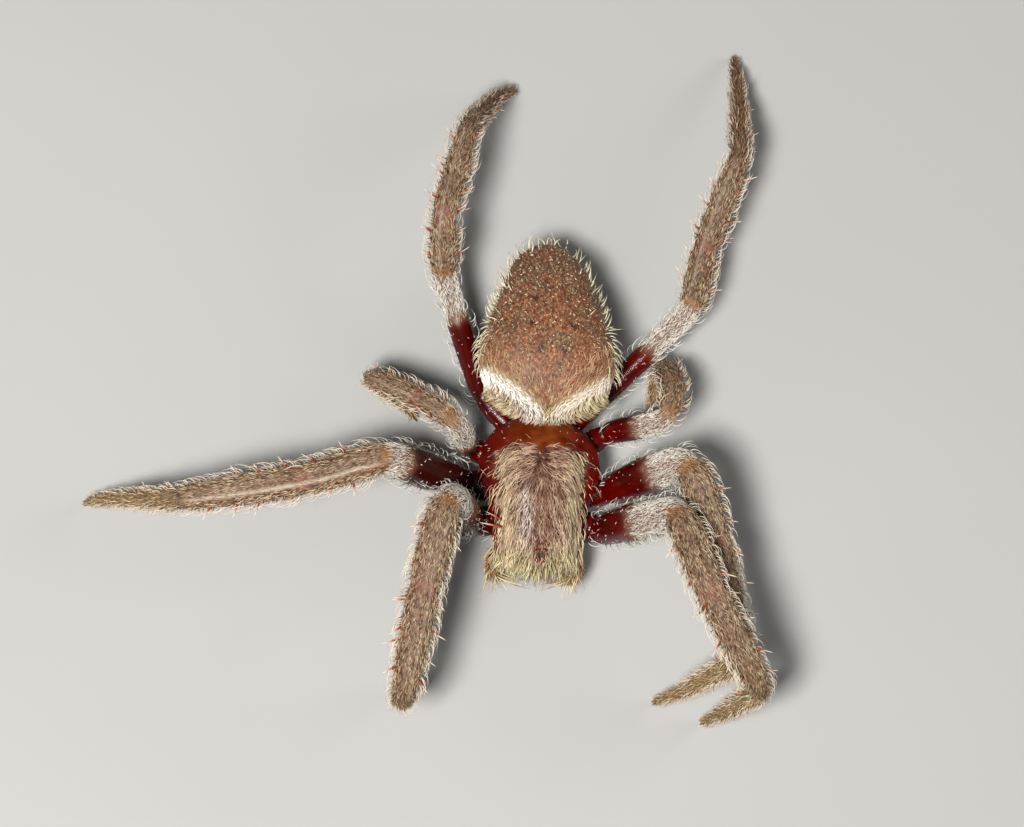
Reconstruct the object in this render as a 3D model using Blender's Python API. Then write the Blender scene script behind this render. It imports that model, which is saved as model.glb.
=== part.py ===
"""A female garden orb weaver spider, life size, as closed solids drawn out to the tips of its hairs.

Lengths are in millimetres here and are turned into metres when a mesh is made. +Z is up, the floor
is Z = 0, the head points along -Y and the spider's left side is +X. The feet all end on the floor.
"""
import math

import bpy
from mathutils import Vector

MM = 0.001
GAP = 0.1
SHARP_ANGLE = 40.0

# Legs. The five lengths run from the trochanter to the claw: femur, patella, tibia, metatarsus, tarsus.
LEG_PIECES = ("coxa", "femur", "patella", "tibia", "metatarsus", "tarsus")
LEG_LENGTHS = {
    1: (9.4, 5.8, 7.4, 7.2, 3.0),
    2: (8.2, 5.4, 7.9, 6.8, 2.8),
    3: (5.9, 3.3, 4.9, 4.3, 2.1),
    4: (8.8, 4.1, 6.7, 7.6, 2.8),
}
# Diameters at the coxa's root and at the end of each piece, then midway along each piece.
END_DIAMETERS = {
    1: (1.6, 2.05, 2.35, 2.25, 1.75, 1.1, 0.62),
    2: (1.6, 2.0, 2.3, 2.25, 1.75, 1.1, 0.62),
    3: (1.3, 1.5, 1.7, 1.7, 1.4, 0.95, 0.56),
    4: (1.3, 1.4, 1.95, 1.95, 1.6, 1.0, 0.56),
}
MIDDLE_DIAMETERS = {
    1: (2.1, 2.65, 2.6, 2.4, 1.4, 0.92),
    2: (2.1, 2.65, 2.55, 2.45, 1.4, 0.9),
    3: (1.7, 1.8, 1.85, 1.75, 1.15, 0.8),
    4: (1.6, 1.6, 2.15, 2.05, 1.3, 0.82),
}
COXA_ROOTS = {1: (1.6, -2.0, 3.3), 2: (1.6, -0.2, 3.3), 3: (1.6, 1.7, 3.3), 4: (1.4, 3.5, 3.25)}
TROCHANTERS = {1: (4.2, -2.6, 3.4), 2: (4.7, 0.0, 3.4), 3: (4.5, 3.1, 3.4), 4: (3.8, 5.9, 3.1)}
# How far a coxa's swing carries its trochanter back.
COXA_SWING = {"leg_3_L": 0.8, "leg_3_R": -0.8}

# The pose in degrees: (heading, pitch) of femur, patella and tibia, then the headings of metatarsus
# and tarsus. A heading is turned outward from straight ahead. The last two share the one pitch
# that brings the claw down to the floor.
LEG_POSES = {
    "leg_1_L": ((89, 65), (20, 15), (35, -23), -62, -83),
    "leg_1_R": ((91, 75), (11, -10), (8, -8), -160, -140),
    "leg_2_L": ((105, 57), (20, -5), (14, -5), -64, -76),
    "leg_2_R": ((93, 47), (71, -4), (79, -7), 100, 93),
    "leg_3_L": ((92, 52), (173, -32), (188, -60), -5, -75),
    "leg_3_R": ((112, 77), (128, -32), (118, -26), -68, -62),
    "leg_4_L": ((137, 12), (170, 3), (162, 13), 177, 180),
    "leg_4_R": ((156, 28), (173, 41), (193, -9), 212, 229),
}
CLAW_HEIGHT = 0.6
CLAW_BEND = 0.4
LEAST_BEND = 0.9
MOST_BEND = 0.62
ROUND_BEND = 1.05
LEG_SIDES = 10
LEG_FULLNESS = 2.6
STRAIGHT_STEPS = 2
# Where a rounded corner's curve has stations: as a piece starts, as it ends, and in the claw's bend.
BEND_START = (0.5, 0.75)
BEND_END = (0.25, 0.5)
CLAW_BEND_END = (0.5, 1.0)

# Carapace stations along Y: (y, half width, base z, top z).
CARAPACE = (
    (-5.4, 2.2, 5.4, 6.3),
    (-5.1, 2.65, 5.2, 7.1),
    (-4.4, 2.95, 4.9, 7.7),
    (-3.0, 3.15, 4.6, 7.95),
    (-1.5, 3.4, 4.6, 7.9),
    (0.0, 3.95, 4.6, 7.65),
    (1.2, 4.15, 4.6, 7.25),
    (2.4, 3.9, 4.6, 6.6),
    (3.5, 3.1, 4.6, 5.9),
    (4.2, 2.0, 4.5, 5.5),
    (4.6, 0.9, 4.4, 5.2),
)
CARAPACE_EDGE = 0.45
CARAPACE_BASE = 0.9
CARAPACE_FLANK = 0.3
FLANK_POWER = 4
HEAD_HALF_WIDTH = 3.0
HEAD_SHARE = 0.97
HEAD_SLOPE = 1.3
HEAD_CROWN = 0.25
CARAPACE_ACROSS = 14

# Abdomen stations along Y: (y, half width, top z, z of the widest level, bottom z).
ABDOMEN = (
    (3.9, 1.3, 7.9, 7.6, 7.2),
    (4.3, 2.5, 8.7, 7.5, 6.6),
    (5.1, 3.6, 9.4, 7.3, 5.1),
    (6.2, 4.4, 9.95, 7.1, 2.9),
    (7.4, 4.65, 10.2, 6.9, 1.8),
    (8.7, 4.4, 10.1, 6.8, 1.35),
    (10.0, 4.0, 9.7, 6.5, 1.2),
    (11.3, 3.6, 9.2, 6.2, 1.25),
    (12.6, 3.15, 8.5, 5.9, 1.55),
    (13.9, 2.65, 7.6, 5.5, 2.3),
    (14.8, 2.15, 6.8, 5.2, 3.1),
    (15.5, 1.5, 6.1, 5.0, 3.8),
    (16.0, 0.7, 5.4, 4.9, 4.5),
)
ABDOMEN_UPPER = 2.3
ABDOMEN_LOWER = 1.45
BODY_SIDES = 20

# Sternum stations along Y: (y, half width, top z, z of the widest level, bottom z).
STERNUM = (
    (-3.1, 0.5, 3.5, 3.0, 2.5),
    (-2.4, 1.2, 4.1, 3.1, 2.1),
    (-0.8, 1.3, 4.3, 3.2, 1.9),
    (0.8, 1.25, 4.3, 3.2, 1.9),
    (2.2, 0.95, 4.2, 3.2, 2.0),
    (3.4, 0.4, 3.9, 3.2, 2.4),
)
STERNUM_POWER = 2.4

# Tubes through these points, with the radius at each.
PEDICEL = (((0, 4.7, 4.8), 0.5), ((0, 4.88, 4.8), 0.5))
SPINNERETS = (((0, 13.5, 1.93), 0.6), ((0, 13.75, 1.5), 0.58), ((0, 14.0, 1.1), 0.34))
CHELICERA = (
    ((0.92, -4.1, 4.3), 0.5),
    ((0.95, -4.7, 4.1), 0.78),
    ((0.95, -4.98, 3.4), 0.82),
    ((0.88, -4.92, 2.6), 0.72),
    ((0.72, -4.75, 1.9), 0.46),
    ((0.55, -4.5, 1.5), 0.27),
    ((0.3, -4.2, 1.25), 0.14),
)
PALP = (
    ((1.6, -3.5, 2.95), 0.42),
    ((2.35, -4.25, 3.35), 0.48),
    ((2.78, -4.95, 3.85), 0.52),
    ((2.76, -5.45, 3.5), 0.54),
    ((2.5, -5.65, 2.75), 0.5),
    ((2.0, -5.7, 2.0), 0.28),
)
TUBE_SIDES = 10
TUBE_STEPS = 2

# Eyes: four on the tubercle in the middle of the head's front edge, and a pair at each corner.
TUBERCLE_CENTRE = (0.0, -4.85, 7.15)
TUBERCLE_RADIUS = 0.85
MEDIAN_EYES = ((0.26, -5.0, 7.88), (0.3, -5.58, 7.3))
MEDIAN_EYE_RADIUS = 0.2
LATERAL_EYES = ((2.38, -5.0, 6.8), (2.48, -4.73, 6.99))
LATERAL_EYE_RADIUS = 0.19
EYE_SEGMENTS = 10

HAIRY_BROWN = (0.33, 0.2, 0.12)
BARE_RED = (0.2, 0.02, 0.01)
ABDOMEN_BROWN = (0.27, 0.14, 0.09)
EYE_BLACK = (0.01, 0.008, 0.008)


def make_material(name, colour, roughness):
    material = bpy.data.materials.new(name)
    material.use_nodes = True
    shader = material.node_tree.nodes["Principled BSDF"]
    shader.inputs["Base Color"].default_value = (*colour, 1.0)
    shader.inputs["Roughness"].default_value = roughness
    shader.inputs["Metallic"].default_value = 0.0
    material.diffuse_color = (*colour, 1.0)
    return material


def add_object(name, points, faces, colour, roughness, spider):
    """A mesh object whose origin is its first point, parented to the spider's empty."""
    origin = points[0]
    mesh = bpy.data.meshes.new(name)
    mesh.from_pydata([(point - origin) * MM for point in points], [], faces)
    mesh.shade_smooth()
    mesh.set_sharp_from_angle(angle=math.radians(SHARP_ANGLE))
    mesh.materials.append(make_material(name, colour, roughness))
    item = bpy.data.objects.new(name, mesh)
    item.location = origin * MM
    item.parent = spider
    bpy.context.collection.objects.link(item)
    return item


def skin_rings(rings):
    """Points and faces of a closed body through rings of equal length, with a flat cap at each end."""
    count = len(rings[0])
    points = [point for ring in rings for point in ring]
    faces = [tuple(reversed(range(count)))]
    for row in range(len(rings) - 1):
        for k in range(count):
            following = (k + 1) % count
            low, high = row * count, (row + 1) * count
            faces.append((low + k, low + following, high + following, high + k))
    last = (len(rings) - 1) * count
    faces.append(tuple(range(last, last + count)))
    return points, faces


def tube_rings(stations, sides):
    """Rings round a path of (centre, tangent, radius), turned as little as possible from one to the next."""
    tangent = stations[0][1]
    across = tangent.orthogonal().normalized()
    rings = []
    for centre, direction, radius in stations:
        across.rotate(tangent.rotation_difference(direction))
        tangent = direction
        up = tangent.cross(across).normalized()
        ring = []
        for k in range(sides):
            angle = 2 * math.pi * k / sides
            ring.append(centre + radius * (math.cos(angle) * across + math.sin(angle) * up))
        rings.append(ring)
    return rings


def direction_of(heading, pitch, side):
    heading, pitch = math.radians(heading), math.radians(pitch)
    level = math.cos(pitch)
    return Vector((side * math.sin(heading) * level, -math.cos(heading) * level, math.sin(pitch)))


def mirrored(point, side):
    return Vector((point[0] * side, point[1], point[2]))


# ---- Legs: eight, each a bent tube parted at its joints into coxa, femur, patella, tibia,
# metatarsus and tarsus. The femora are nearly bare, the rest is hairy.


def leg_corners(name, number, side):
    """The points where a leg's axis turns, from the coxa's root to the floor under the claw."""
    femur, patella, tibia, metatarsus_heading, tarsus_heading = LEG_POSES[name]
    lengths = LEG_LENGTHS[number]
    swing = Vector((0.0, COXA_SWING.get(name, 0.0), 0.0))
    corners = [mirrored(COXA_ROOTS[number], side), mirrored(TROCHANTERS[number], side) + swing]
    for (heading, pitch), length in zip((femur, patella, tibia), lengths):
        corners.append(corners[-1] + length * direction_of(heading, pitch, side))
    drop = corners[-1].z - CLAW_HEIGHT
    pitch = -math.degrees(math.asin(drop / (lengths[3] + lengths[4])))
    for heading, length in zip((metatarsus_heading, tarsus_heading), lengths[3:]):
        corners.append(corners[-1] + length * direction_of(heading, pitch, side))
    corners.append(Vector((corners[-1].x, corners[-1].y, 0.0)))
    return corners


def bend_reach(before, corner, after, radius):
    """How far from a corner its rounding starts: enough that the tube doesn't fold on the inside."""
    first, second = corner - before, after - corner
    half_turn = first.angle(second) / 2
    reach = max(LEAST_BEND, ROUND_BEND * radius * math.sin(half_turn) / math.cos(half_turn) ** 2)
    return min(reach, MOST_BEND * first.length, MOST_BEND * second.length)


def bend_point(before, corner, after, reach, t):
    """Point and tangent on the curve that rounds a corner."""
    start = corner + reach * (before - corner).normalized()
    end = corner + reach * (after - corner).normalized()
    point = (1 - t) ** 2 * start + 2 * t * (1 - t) * corner + t**2 * end
    return point, ((1 - t) * (corner - start) + t * (end - corner)).normalized()


def leg_axis(corners, number):
    """For each piece of a leg, the (point, tangent) stations along its rounded axis."""
    ends = END_DIAMETERS[number]
    reaches = [0.0]
    for k in range(1, len(corners) - 2):
        reaches.append(bend_reach(corners[k - 1], corners[k], corners[k + 1], ends[k] / 2))
    reaches.append(CLAW_BEND)
    pieces = []
    for k in range(len(LEG_PIECES)):
        start, end = corners[k], corners[k + 1]
        along = (end - start).normalized()
        stations = []
        if k == 0:
            stations.append((start, along))
        else:
            for t in BEND_START:
                stations.append(bend_point(corners[k - 1], start, end, reaches[k], t))
            first, tangent = stations[0]
            stations[0] = (first + GAP / 2 * tangent, tangent)
        run_start = start + reaches[k] * along
        run_end = end - reaches[k + 1] * along
        for step in range(STRAIGHT_STEPS + 1):
            if k > 0 or step > 0:
                stations.append((run_start.lerp(run_end, step / STRAIGHT_STEPS), along))
        is_tarsus = k == len(LEG_PIECES) - 1
        for t in CLAW_BEND_END if is_tarsus else BEND_END:
            stations.append(bend_point(start, end, corners[k + 2], reaches[k + 1], t))
        if is_tarsus:
            stations.append((corners[-1], Vector((0.0, 0.0, -1.0))))
        else:
            last, tangent = stations[-1]
            stations[-1] = (last - GAP / 2 * tangent, tangent)
        pieces.append(stations)
    return pieces


def with_radii(stations, start, middle, end):
    """Adds each station's radius, swelling from both ends to the middle of the piece."""
    lengths = [0.0]
    for (previous, _), (point, _) in zip(stations, stations[1:]):
        lengths.append(lengths[-1] + (point - previous).length)
    swell = middle - (start + end) / 2
    result = []
    for (point, tangent), length in zip(stations, lengths):
        along = length / lengths[-1]
        fullness = 1 - abs(2 * along - 1) ** LEG_FULLNESS
        radius = (start + (end - start) * along + swell * fullness) / 2
        result.append((point, tangent, radius))
    return result


def build_leg(name, spider):
    number = int(name.split("_")[1])
    side = 1 if name.endswith("L") else -1
    pieces = leg_axis(leg_corners(name, number, side), number)
    ends, middles = END_DIAMETERS[number], MIDDLE_DIAMETERS[number]
    stations = []
    for k, piece in enumerate(pieces):
        stations += with_radii(piece, ends[k], middles[k], ends[k + 1])
    rings = tube_rings(stations, LEG_SIDES)
    for piece_name, piece in zip(LEG_PIECES, pieces):
        points, faces = skin_rings(rings[: len(piece)])
        del rings[: len(piece)]
        bare = piece_name in ("coxa", "femur")
        colour, roughness = (BARE_RED, 0.35) if bare else (HAIRY_BROWN, 0.8)
        add_object(f"{name}_{piece_name}", points, faces, colour, roughness, spider)


# ---- Carapace: the shield over head and thorax. The hairy head is a raised block, the thorax
# spreads below it as a bare flange. Pockets are cut for the eyes.


def carapace_ring(y, half_width, base, top):
    """Base corners, then the upper surface from right to left."""
    edge = min(CARAPACE_EDGE, (top - base) / 2)
    flank = base + edge + CARAPACE_FLANK * (top - base - edge)
    head = min(HEAD_HALF_WIDTH, HEAD_SHARE * half_width)
    under = CARAPACE_BASE * half_width
    ring = [Vector((-under, y, base)), Vector((under, y, base))]
    for k in range(CARAPACE_ACROSS + 1):
        across = math.cos(math.pi * k / CARAPACE_ACROSS)
        x = half_width * across
        low = base + edge + (flank - base - edge) * (1 - across**FLANK_POWER)
        inward = min(max((head - abs(x)) / HEAD_SLOPE, 0.0), 1.0)
        rise = inward * inward * (3 - 2 * inward)
        crown = 1 - HEAD_CROWN * (x / head) ** 2
        ring.append(Vector((x, y, low + (top - flank) * rise * crown)))
    return ring


def add_ball(name, centre, radius, spider):
    """A ball used to cut or join, not a part itself."""
    rings = []
    for row in range(1, EYE_SEGMENTS // 2 + 2):
        polar = math.pi * row / (EYE_SEGMENTS // 2 + 2)
        ring = []
        for k in range(EYE_SEGMENTS):
            angle = -2 * math.pi * k / EYE_SEGMENTS
            level = radius * math.sin(polar)
            spot = (level * math.cos(angle), level * math.sin(angle), radius * math.cos(polar))
            ring.append(Vector(centre) + Vector(spot))
        rings.append(ring)
    points, faces = skin_rings(rings)
    return add_object(name, points, faces, EYE_BLACK, 0.1, spider)


def combine(item, other, operation):
    """Cuts another object from an item or joins it on, and hides the other as a helper."""
    modifier = item.modifiers.new(f"{operation.lower()}_{other.name}", "BOOLEAN")
    modifier.operation = operation
    modifier.object = other
    other.hide_render = True
    other.display_type = "WIRE"


def build_carapace_and_eyes(spider):
    rings = [carapace_ring(*station) for station in CARAPACE]
    points, faces = skin_rings(rings)
    carapace = add_object("carapace", points, faces, HAIRY_BROWN, 0.7, spider)
    tubercle = add_ball("eye_tubercle", TUBERCLE_CENTRE, TUBERCLE_RADIUS, spider)
    pocket = add_ball("tubercle_pocket", TUBERCLE_CENTRE, TUBERCLE_RADIUS + GAP, spider)
    combine(carapace, pocket, "DIFFERENCE")
    for side, letter in ((1, "L"), (-1, "R")):
        for k, centre in enumerate(MEDIAN_EYES):
            eye = add_ball(f"median_eye_{k}_{letter}", mirrored(centre, side), MEDIAN_EYE_RADIUS, spider)
            combine(tubercle, eye, "UNION")
        first, second = (mirrored(centre, side) for centre in LATERAL_EYES)
        pair = add_ball(f"eyes_lateral_{letter}", first, LATERAL_EYE_RADIUS, spider)
        joined = add_ball(f"lateral_eye_{letter}", second, LATERAL_EYE_RADIUS, spider)
        combine(pair, joined, "UNION")
        for k, centre in enumerate((first, second)):
            hollow = add_ball(f"eye_pocket_{k}_{letter}", centre, LATERAL_EYE_RADIUS + GAP, spider)
            combine(carapace, hollow, "DIFFERENCE")


# ---- Abdomen, sternum and the small tubes: the pedicel joins thorax to abdomen, the spinnerets sit
# under its rear, and the chelicerae with their fangs and the palps hang below the head.


def egg_ring(y, half_width, top, widest, bottom, upper, lower):
    """A cross-section with its own fullness above and below its widest level."""
    ring = []
    for k in range(BODY_SIDES):
        angle = -2 * math.pi * k / BODY_SIDES
        across, rise = math.cos(angle), math.sin(angle)
        power = upper if rise > 0 else lower
        height = top - widest if rise > 0 else widest - bottom
        x = half_width * math.copysign(abs(across) ** (2 / power), across)
        z = widest + height * math.copysign(abs(rise) ** (2 / power), rise)
        ring.append(Vector((x, y, z)))
    return ring


def build_trunk(spider):
    abdomen = [egg_ring(*station, ABDOMEN_UPPER, ABDOMEN_LOWER) for station in ABDOMEN]
    points, faces = skin_rings(abdomen)
    add_object("abdomen", points, faces, ABDOMEN_BROWN, 0.85, spider)
    sternum = [egg_ring(*station, STERNUM_POWER, STERNUM_POWER) for station in STERNUM]
    points, faces = skin_rings(sternum)
    add_object("sternum", points, faces, BARE_RED, 0.45, spider)


def curve_through(knots, side):
    """(point, tangent, radius) stations on a smooth curve through a tube's knots."""
    centres = [mirrored(point, side) for point, _ in knots]
    radii = [radius for _, radius in knots]
    last = len(knots) - 1
    slopes = []
    for k in range(len(knots)):
        before, after = max(k - 1, 0), min(k + 1, last)
        slopes.append((centres[after] - centres[before]) / (after - before))
    stations = []
    for k in range(last):
        for step in range(TUBE_STEPS + (k == last - 1)):
            t = step / TUBE_STEPS
            ease = t * t * (3 - 2 * t)
            point = (
                centres[k] * (1 - ease)
                + centres[k + 1] * ease
                + slopes[k] * t * (1 - t) ** 2
                - slopes[k + 1] * t * t * (1 - t)
            )
            tangent = slopes[k].lerp(slopes[k + 1], t).normalized()
            stations.append((point, tangent, radii[k] * (1 - ease) + radii[k + 1] * ease))
    return stations


def build_tube(name, knots, side, colour, roughness, spider):
    points, faces = skin_rings(tube_rings(curve_through(knots, side), TUBE_SIDES))
    add_object(name, points, faces, colour, roughness, spider)


def centre_on_floor(spider):
    """Moves the whole spider so that the middle of its box stands on the world's origin."""
    bpy.context.view_layer.update()
    parts = [item for item in spider.children if not item.hide_render]
    corners = [item.matrix_world @ vertex.co for item in parts for vertex in item.data.vertices]
    for axis in (0, 1):
        values = [corner[axis] for corner in corners]
        spider.location[axis] = -(min(values) + max(values)) / 2


for leftover in list(bpy.data.objects):
    bpy.data.objects.remove(leftover, do_unlink=True)

whole_spider = bpy.data.objects.new("orb_weaver_spider", None)
bpy.context.collection.objects.link(whole_spider)
for leg_name in LEG_POSES:
    build_leg(leg_name, whole_spider)
build_carapace_and_eyes(whole_spider)
build_trunk(whole_spider)
build_tube("pedicel", PEDICEL, 1, BARE_RED, 0.45, whole_spider)
build_tube("spinnerets", SPINNERETS, 1, BARE_RED, 0.6, whole_spider)
for limb_side, limb_letter in ((1, "L"), (-1, "R")):
    build_tube(f"chelicera_{limb_letter}", CHELICERA, limb_side, BARE_RED, 0.4, whole_spider)
    build_tube(f"palp_{limb_letter}", PALP, limb_side, HAIRY_BROWN, 0.7, whole_spider)
centre_on_floor(whole_spider)
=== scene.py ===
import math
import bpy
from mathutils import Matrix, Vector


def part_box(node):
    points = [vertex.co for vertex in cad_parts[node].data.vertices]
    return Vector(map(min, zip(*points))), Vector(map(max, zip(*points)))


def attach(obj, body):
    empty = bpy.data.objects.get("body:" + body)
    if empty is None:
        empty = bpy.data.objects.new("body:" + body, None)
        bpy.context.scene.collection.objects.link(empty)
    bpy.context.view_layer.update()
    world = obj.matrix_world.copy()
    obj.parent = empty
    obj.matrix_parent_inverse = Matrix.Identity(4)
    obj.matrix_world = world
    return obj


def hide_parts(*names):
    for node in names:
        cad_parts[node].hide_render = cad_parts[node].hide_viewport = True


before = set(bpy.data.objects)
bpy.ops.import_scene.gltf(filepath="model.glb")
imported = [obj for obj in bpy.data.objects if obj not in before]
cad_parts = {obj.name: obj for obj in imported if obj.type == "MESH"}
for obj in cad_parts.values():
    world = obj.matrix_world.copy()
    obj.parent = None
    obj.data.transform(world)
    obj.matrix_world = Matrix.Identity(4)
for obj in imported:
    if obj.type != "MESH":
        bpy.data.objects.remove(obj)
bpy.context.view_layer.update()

# A female garden orb weaver, life size: skins of bare and hairy cuticle, coats of separate hairs, spines,
# claws and eyes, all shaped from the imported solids. Lengths are millimetres until a mesh is made.
# The head points along -Y, the spider's left side is +X and the floor is Z = 0.
from types import SimpleNamespace

import bpy
import numpy as np
from mathutils import Matrix, Vector, noise
from mathutils.bvhtree import BVHTree
from mathutils.kdtree import KDTree

rng = np.random.default_rng(11)

# ---- Camera ----------------------------------------------------------------------------------------
# A long lens that looks down on the spider from a little in front of it and to its right.
MM = 0.001
LENS = 147.66
DISTANCE = 271.7
LEAN_RIGHT = math.radians(6.0)
LEAN_FRONT = math.radians(12.0)
CAMERA_ROLL = math.radians(2.1)
AIM_BESIDE_AXIS = -2.03
AIM_BEHIND_HEAD = 9.68
AIM_HEIGHT = 6.0


def unit(vectors):
    """Vectors scaled to a length of one."""
    return vectors / np.maximum(np.linalg.norm(vectors, axis=-1, keepdims=True), 1e-9)


def box_of(node):
    """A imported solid's lowest and highest corner in millimetres."""
    return [np.array(corner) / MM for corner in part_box(node)]


head_low, head_high = box_of("carapace")
AXIS = (head_low[0] + head_high[0]) / 2
aim = np.array([AXIS + AIM_BESIDE_AXIS, head_low[1] + AIM_BEHIND_HEAD, AIM_HEIGHT])
towards = np.array([-math.sin(LEAN_RIGHT), -math.sin(LEAN_FRONT), 0.0])
towards[2] = math.sqrt(1 - towards @ towards)
image_right = unit(np.cross([-math.sin(CAMERA_ROLL), math.cos(CAMERA_ROLL), 0.0], towards))
turned = np.stack([image_right, np.cross(towards, image_right), towards], 1)
camera = bpy.data.objects.new("camera", bpy.data.cameras.new("camera"))
camera.data.lens = LENS
camera.data.clip_start = 0.01
camera.location = (aim + DISTANCE * towards) * MM
camera.rotation_mode = "QUATERNION"
camera.rotation_quaternion = Matrix(turned.tolist()).to_quaternion()
bpy.context.collection.objects.link(camera)
bpy.context.scene.camera = camera

# ---- Leg skins -------------------------------------------------------------------------------------
# Each leg is one sleeve of cuticle from coxa to tarsus, pinched at its joints. The coxa and most of the
# femur are bare and glossy dark red; the rest is rough pinkish brown under its hairs.
LEGS = [f"leg_{number}_{side}" for number in (1, 2, 3, 4) for side in "LR"]
LEG_PIECES = ("coxa", "femur", "patella", "tibia", "metatarsus", "tarsus")
CUT_REACH = 0.13
RING_STEP = 0.28
AROUND = 28
WIDEST_LEG = 3.0
BEND_HANDLE = 1.2
BEND_POINTS = 24
# The coxa's inner end is the part of it past this share of its length.
INNER_END = 0.65
CENTRING_ROUNDS = 3
ROUND_HARMONICS = 3
COAT_DEPTH = 0.2
BARE_DEPTH = 0.03
SLIM_LEG_DEPTH = 0.15
TIP_LEFT_FOR_CLAWS = 0.3
TIP_ROUNDED = 0.6
# How much a leg is pinched at each joint, from the femur's to the tarsus's, and over what length.
PINCHES = (0.12, 0.1, 0.07, 0.08, 0.05)
PINCH_REACH = 0.28
# The share of each femur that is bare, from the coxa outward. Its edge lies further out on top, and is
# ragged by waves: their height, their number round the leg and where they start.
BARE_FEMUR = {
    "leg_1_L": 0.5, "leg_1_R": 0.6, "leg_2_L": 0.6, "leg_2_R": 0.8,
    "leg_3_L": 0.52, "leg_3_R": 0.35, "leg_4_L": 0.52, "leg_4_R": 0.62,
}
EDGE_SLANT = 0.35
EDGE_WAVES = ((0.09, 5, 0), (0.07, 11, 1))
# Painted shade: how far the bare cuticle of a leg is darkened to near black.
LEG_SHADE_SHARES = {"leg_2_R": 0.75, "leg_4_R": 0.25, "leg_1_R": 0.3}
# How far a leg's outermost pieces turn from olive brown to rust.
RUST_SHARES = {"leg_4_L": 0.75, "leg_4_R": 0.85, "leg_3_L": 0.3}
# Two smooth grooves run along the top of patella and tibia, at these turns from the topmost line.
GROOVES = (0.32, -0.38)
# How strong the grooves are: they thin the hairs, and their pale cream colour is partly painted highlight
# along the top of the leg, strongest on leg_2_R.
GROOVE_FAINT = 0.4
GROOVE_AND_HIGHLIGHT_SHARES = {"leg_2_R": 1.0}


def corners_of(node):
    """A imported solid's corners in millimetres."""
    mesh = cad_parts[node].data
    flat = np.empty(len(mesh.vertices) * 3)
    mesh.vertices.foreach_get("co", flat)
    return flat.reshape(-1, 3) / MM


def ring_middle(points):
    """The middle of a ring of corners, each counted once."""
    return np.unique(np.round(points, 3), axis=0).mean(0)


def wall_tree(nodes, on_cut):
    """Solids' faces to cast rays at, without those whose corners all lie on a cut."""
    points, faces = [], []
    for node in nodes:
        first = len(points)
        points += corners_of(node).tolist()
        cut = on_cut.get(node, np.zeros(0, bool))
        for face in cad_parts[node].data.polygons:
            if not (len(cut) and all(cut[k] for k in face.vertices)):
                faces.append([first + k for k in face.vertices])
    return BVHTree.FromPolygons(points, faces)


def blurred(rows, reach):
    """Values evened along their first axis by a bell curve, its reach counted in rows."""
    half = max(int(3 * reach), 1)
    weights = np.exp(-0.5 * (np.arange(-half, half + 1) / reach) ** 2)
    weights /= weights.sum()
    padded = np.concatenate([np.repeat(rows[:1], half, 0), rows, np.repeat(rows[-1:], half, 0)])
    return sum(weight * padded[k : k + len(rows)] for k, weight in enumerate(weights))


def distances(path):
    """How far along a path each of its points lies."""
    return np.concatenate([[0.0], np.linalg.norm(np.diff(path, axis=0), axis=1).cumsum()])


def vectors(x, y, z):
    """Vectors from their three parts, each a number or an array."""
    return np.stack(np.broadcast_arrays(x, y, z), -1)


def cast(tree, origins, rays, farthest):
    """Distances from each row's origin along its rays to the first wall. A miss is filled from the rows
    beside it."""
    reach = np.full(rays.shape[:2], np.nan)
    for row, origin in enumerate(origins):
        start = Vector(origin)
        for column, ray in enumerate(rays[row]):
            hit = tree.ray_cast(start, Vector(ray), farthest)[3]
            if hit is not None:
                reach[row, column] = hit
    rows = np.arange(len(reach))
    for column in reach.T:
        found = ~np.isnan(column)
        column[:] = np.interp(rows, rows[found], column[found])
    return reach


def ring_rays(path):
    """Rays square to a path at each of its points. The first of a ring points as far up as it can."""
    along = unit(np.gradient(path, axis=0))
    up = np.array([0.0, 0.0, 1.0])
    above = blurred(up - (along @ up)[:, None] * along, 3)
    above = unit(above - (above * along).sum(1)[:, None] * along)
    beside = np.cross(along, above)
    turn = 2 * np.pi * np.arange(AROUND) / AROUND
    return np.cos(turn)[None, :, None] * above[:, None] + np.sin(turn)[None, :, None] * beside[:, None]


def past(value, start, soft):
    """1 where a value is past start, fading to 0 before it over a soft edge."""
    return 1 / (1 + np.exp(-(value - start) / soft))


def until(value, end, soft):
    """1 up to end, fading to 0 over a soft edge."""
    return 1 / (1 + np.exp((value - end) / soft))


def between(value, start, end, soft):
    """1 from start to end, fading to 0 over soft edges."""
    return past(value, start, soft) / (1 + np.exp((value - end) / soft))


def bell(value, middle, width, power=2):
    """1 at the middle, falling to 0 on both sides. A higher power flattens its top."""
    return np.exp(-(((value - middle) / width) ** power))


def grid_skin(points, lie):
    """A closed skin from rows of rings: its points, normals, faces, the lie of its hairs and each point's
    place on the skin unwrapped. Each ring's first column is repeated at its end, for the unwrap."""
    rows, columns = points.shape[:2]
    points = np.concatenate([points, points[:, :1]], 1)
    lie = np.concatenate([lie, lie[:, :1]], 1)
    across = np.gradient(np.concatenate([points[:, -2:-1], points, points[:, 1:2]], 1), axis=1)[:, 1:-1]
    normal = unit(np.cross(np.gradient(points, axis=0), across))
    outward = points - points[:, :-1].mean(1, keepdims=True)
    normal *= np.sign((normal * outward).sum())
    lie = unit(lie - (lie * normal).sum(2, keepdims=True) * normal)
    v, u = np.meshgrid(np.linspace(0, 1, rows), np.linspace(0, 1, columns + 1), indexing="ij")
    place = 0.02 + 0.96 * np.stack([u, v], 2)
    first = (np.arange(rows - 1)[:, None] * (columns + 1) + np.arange(columns)[None]).ravel()
    quads = np.stack([first, first + 1, first + columns + 2, first + columns + 1], 1)
    faces = np.concatenate([quads[:, [0, 1, 2]], quads[:, [0, 2, 3]]])
    grids = {"points": points, "normal": normal, "lie": lie, "place": place}
    grids = {key: grid.reshape(-1, grid.shape[-1]) for key, grid in grids.items()}
    return SimpleNamespace(faces=faces, rows=rows, columns=columns, **grids)


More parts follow.
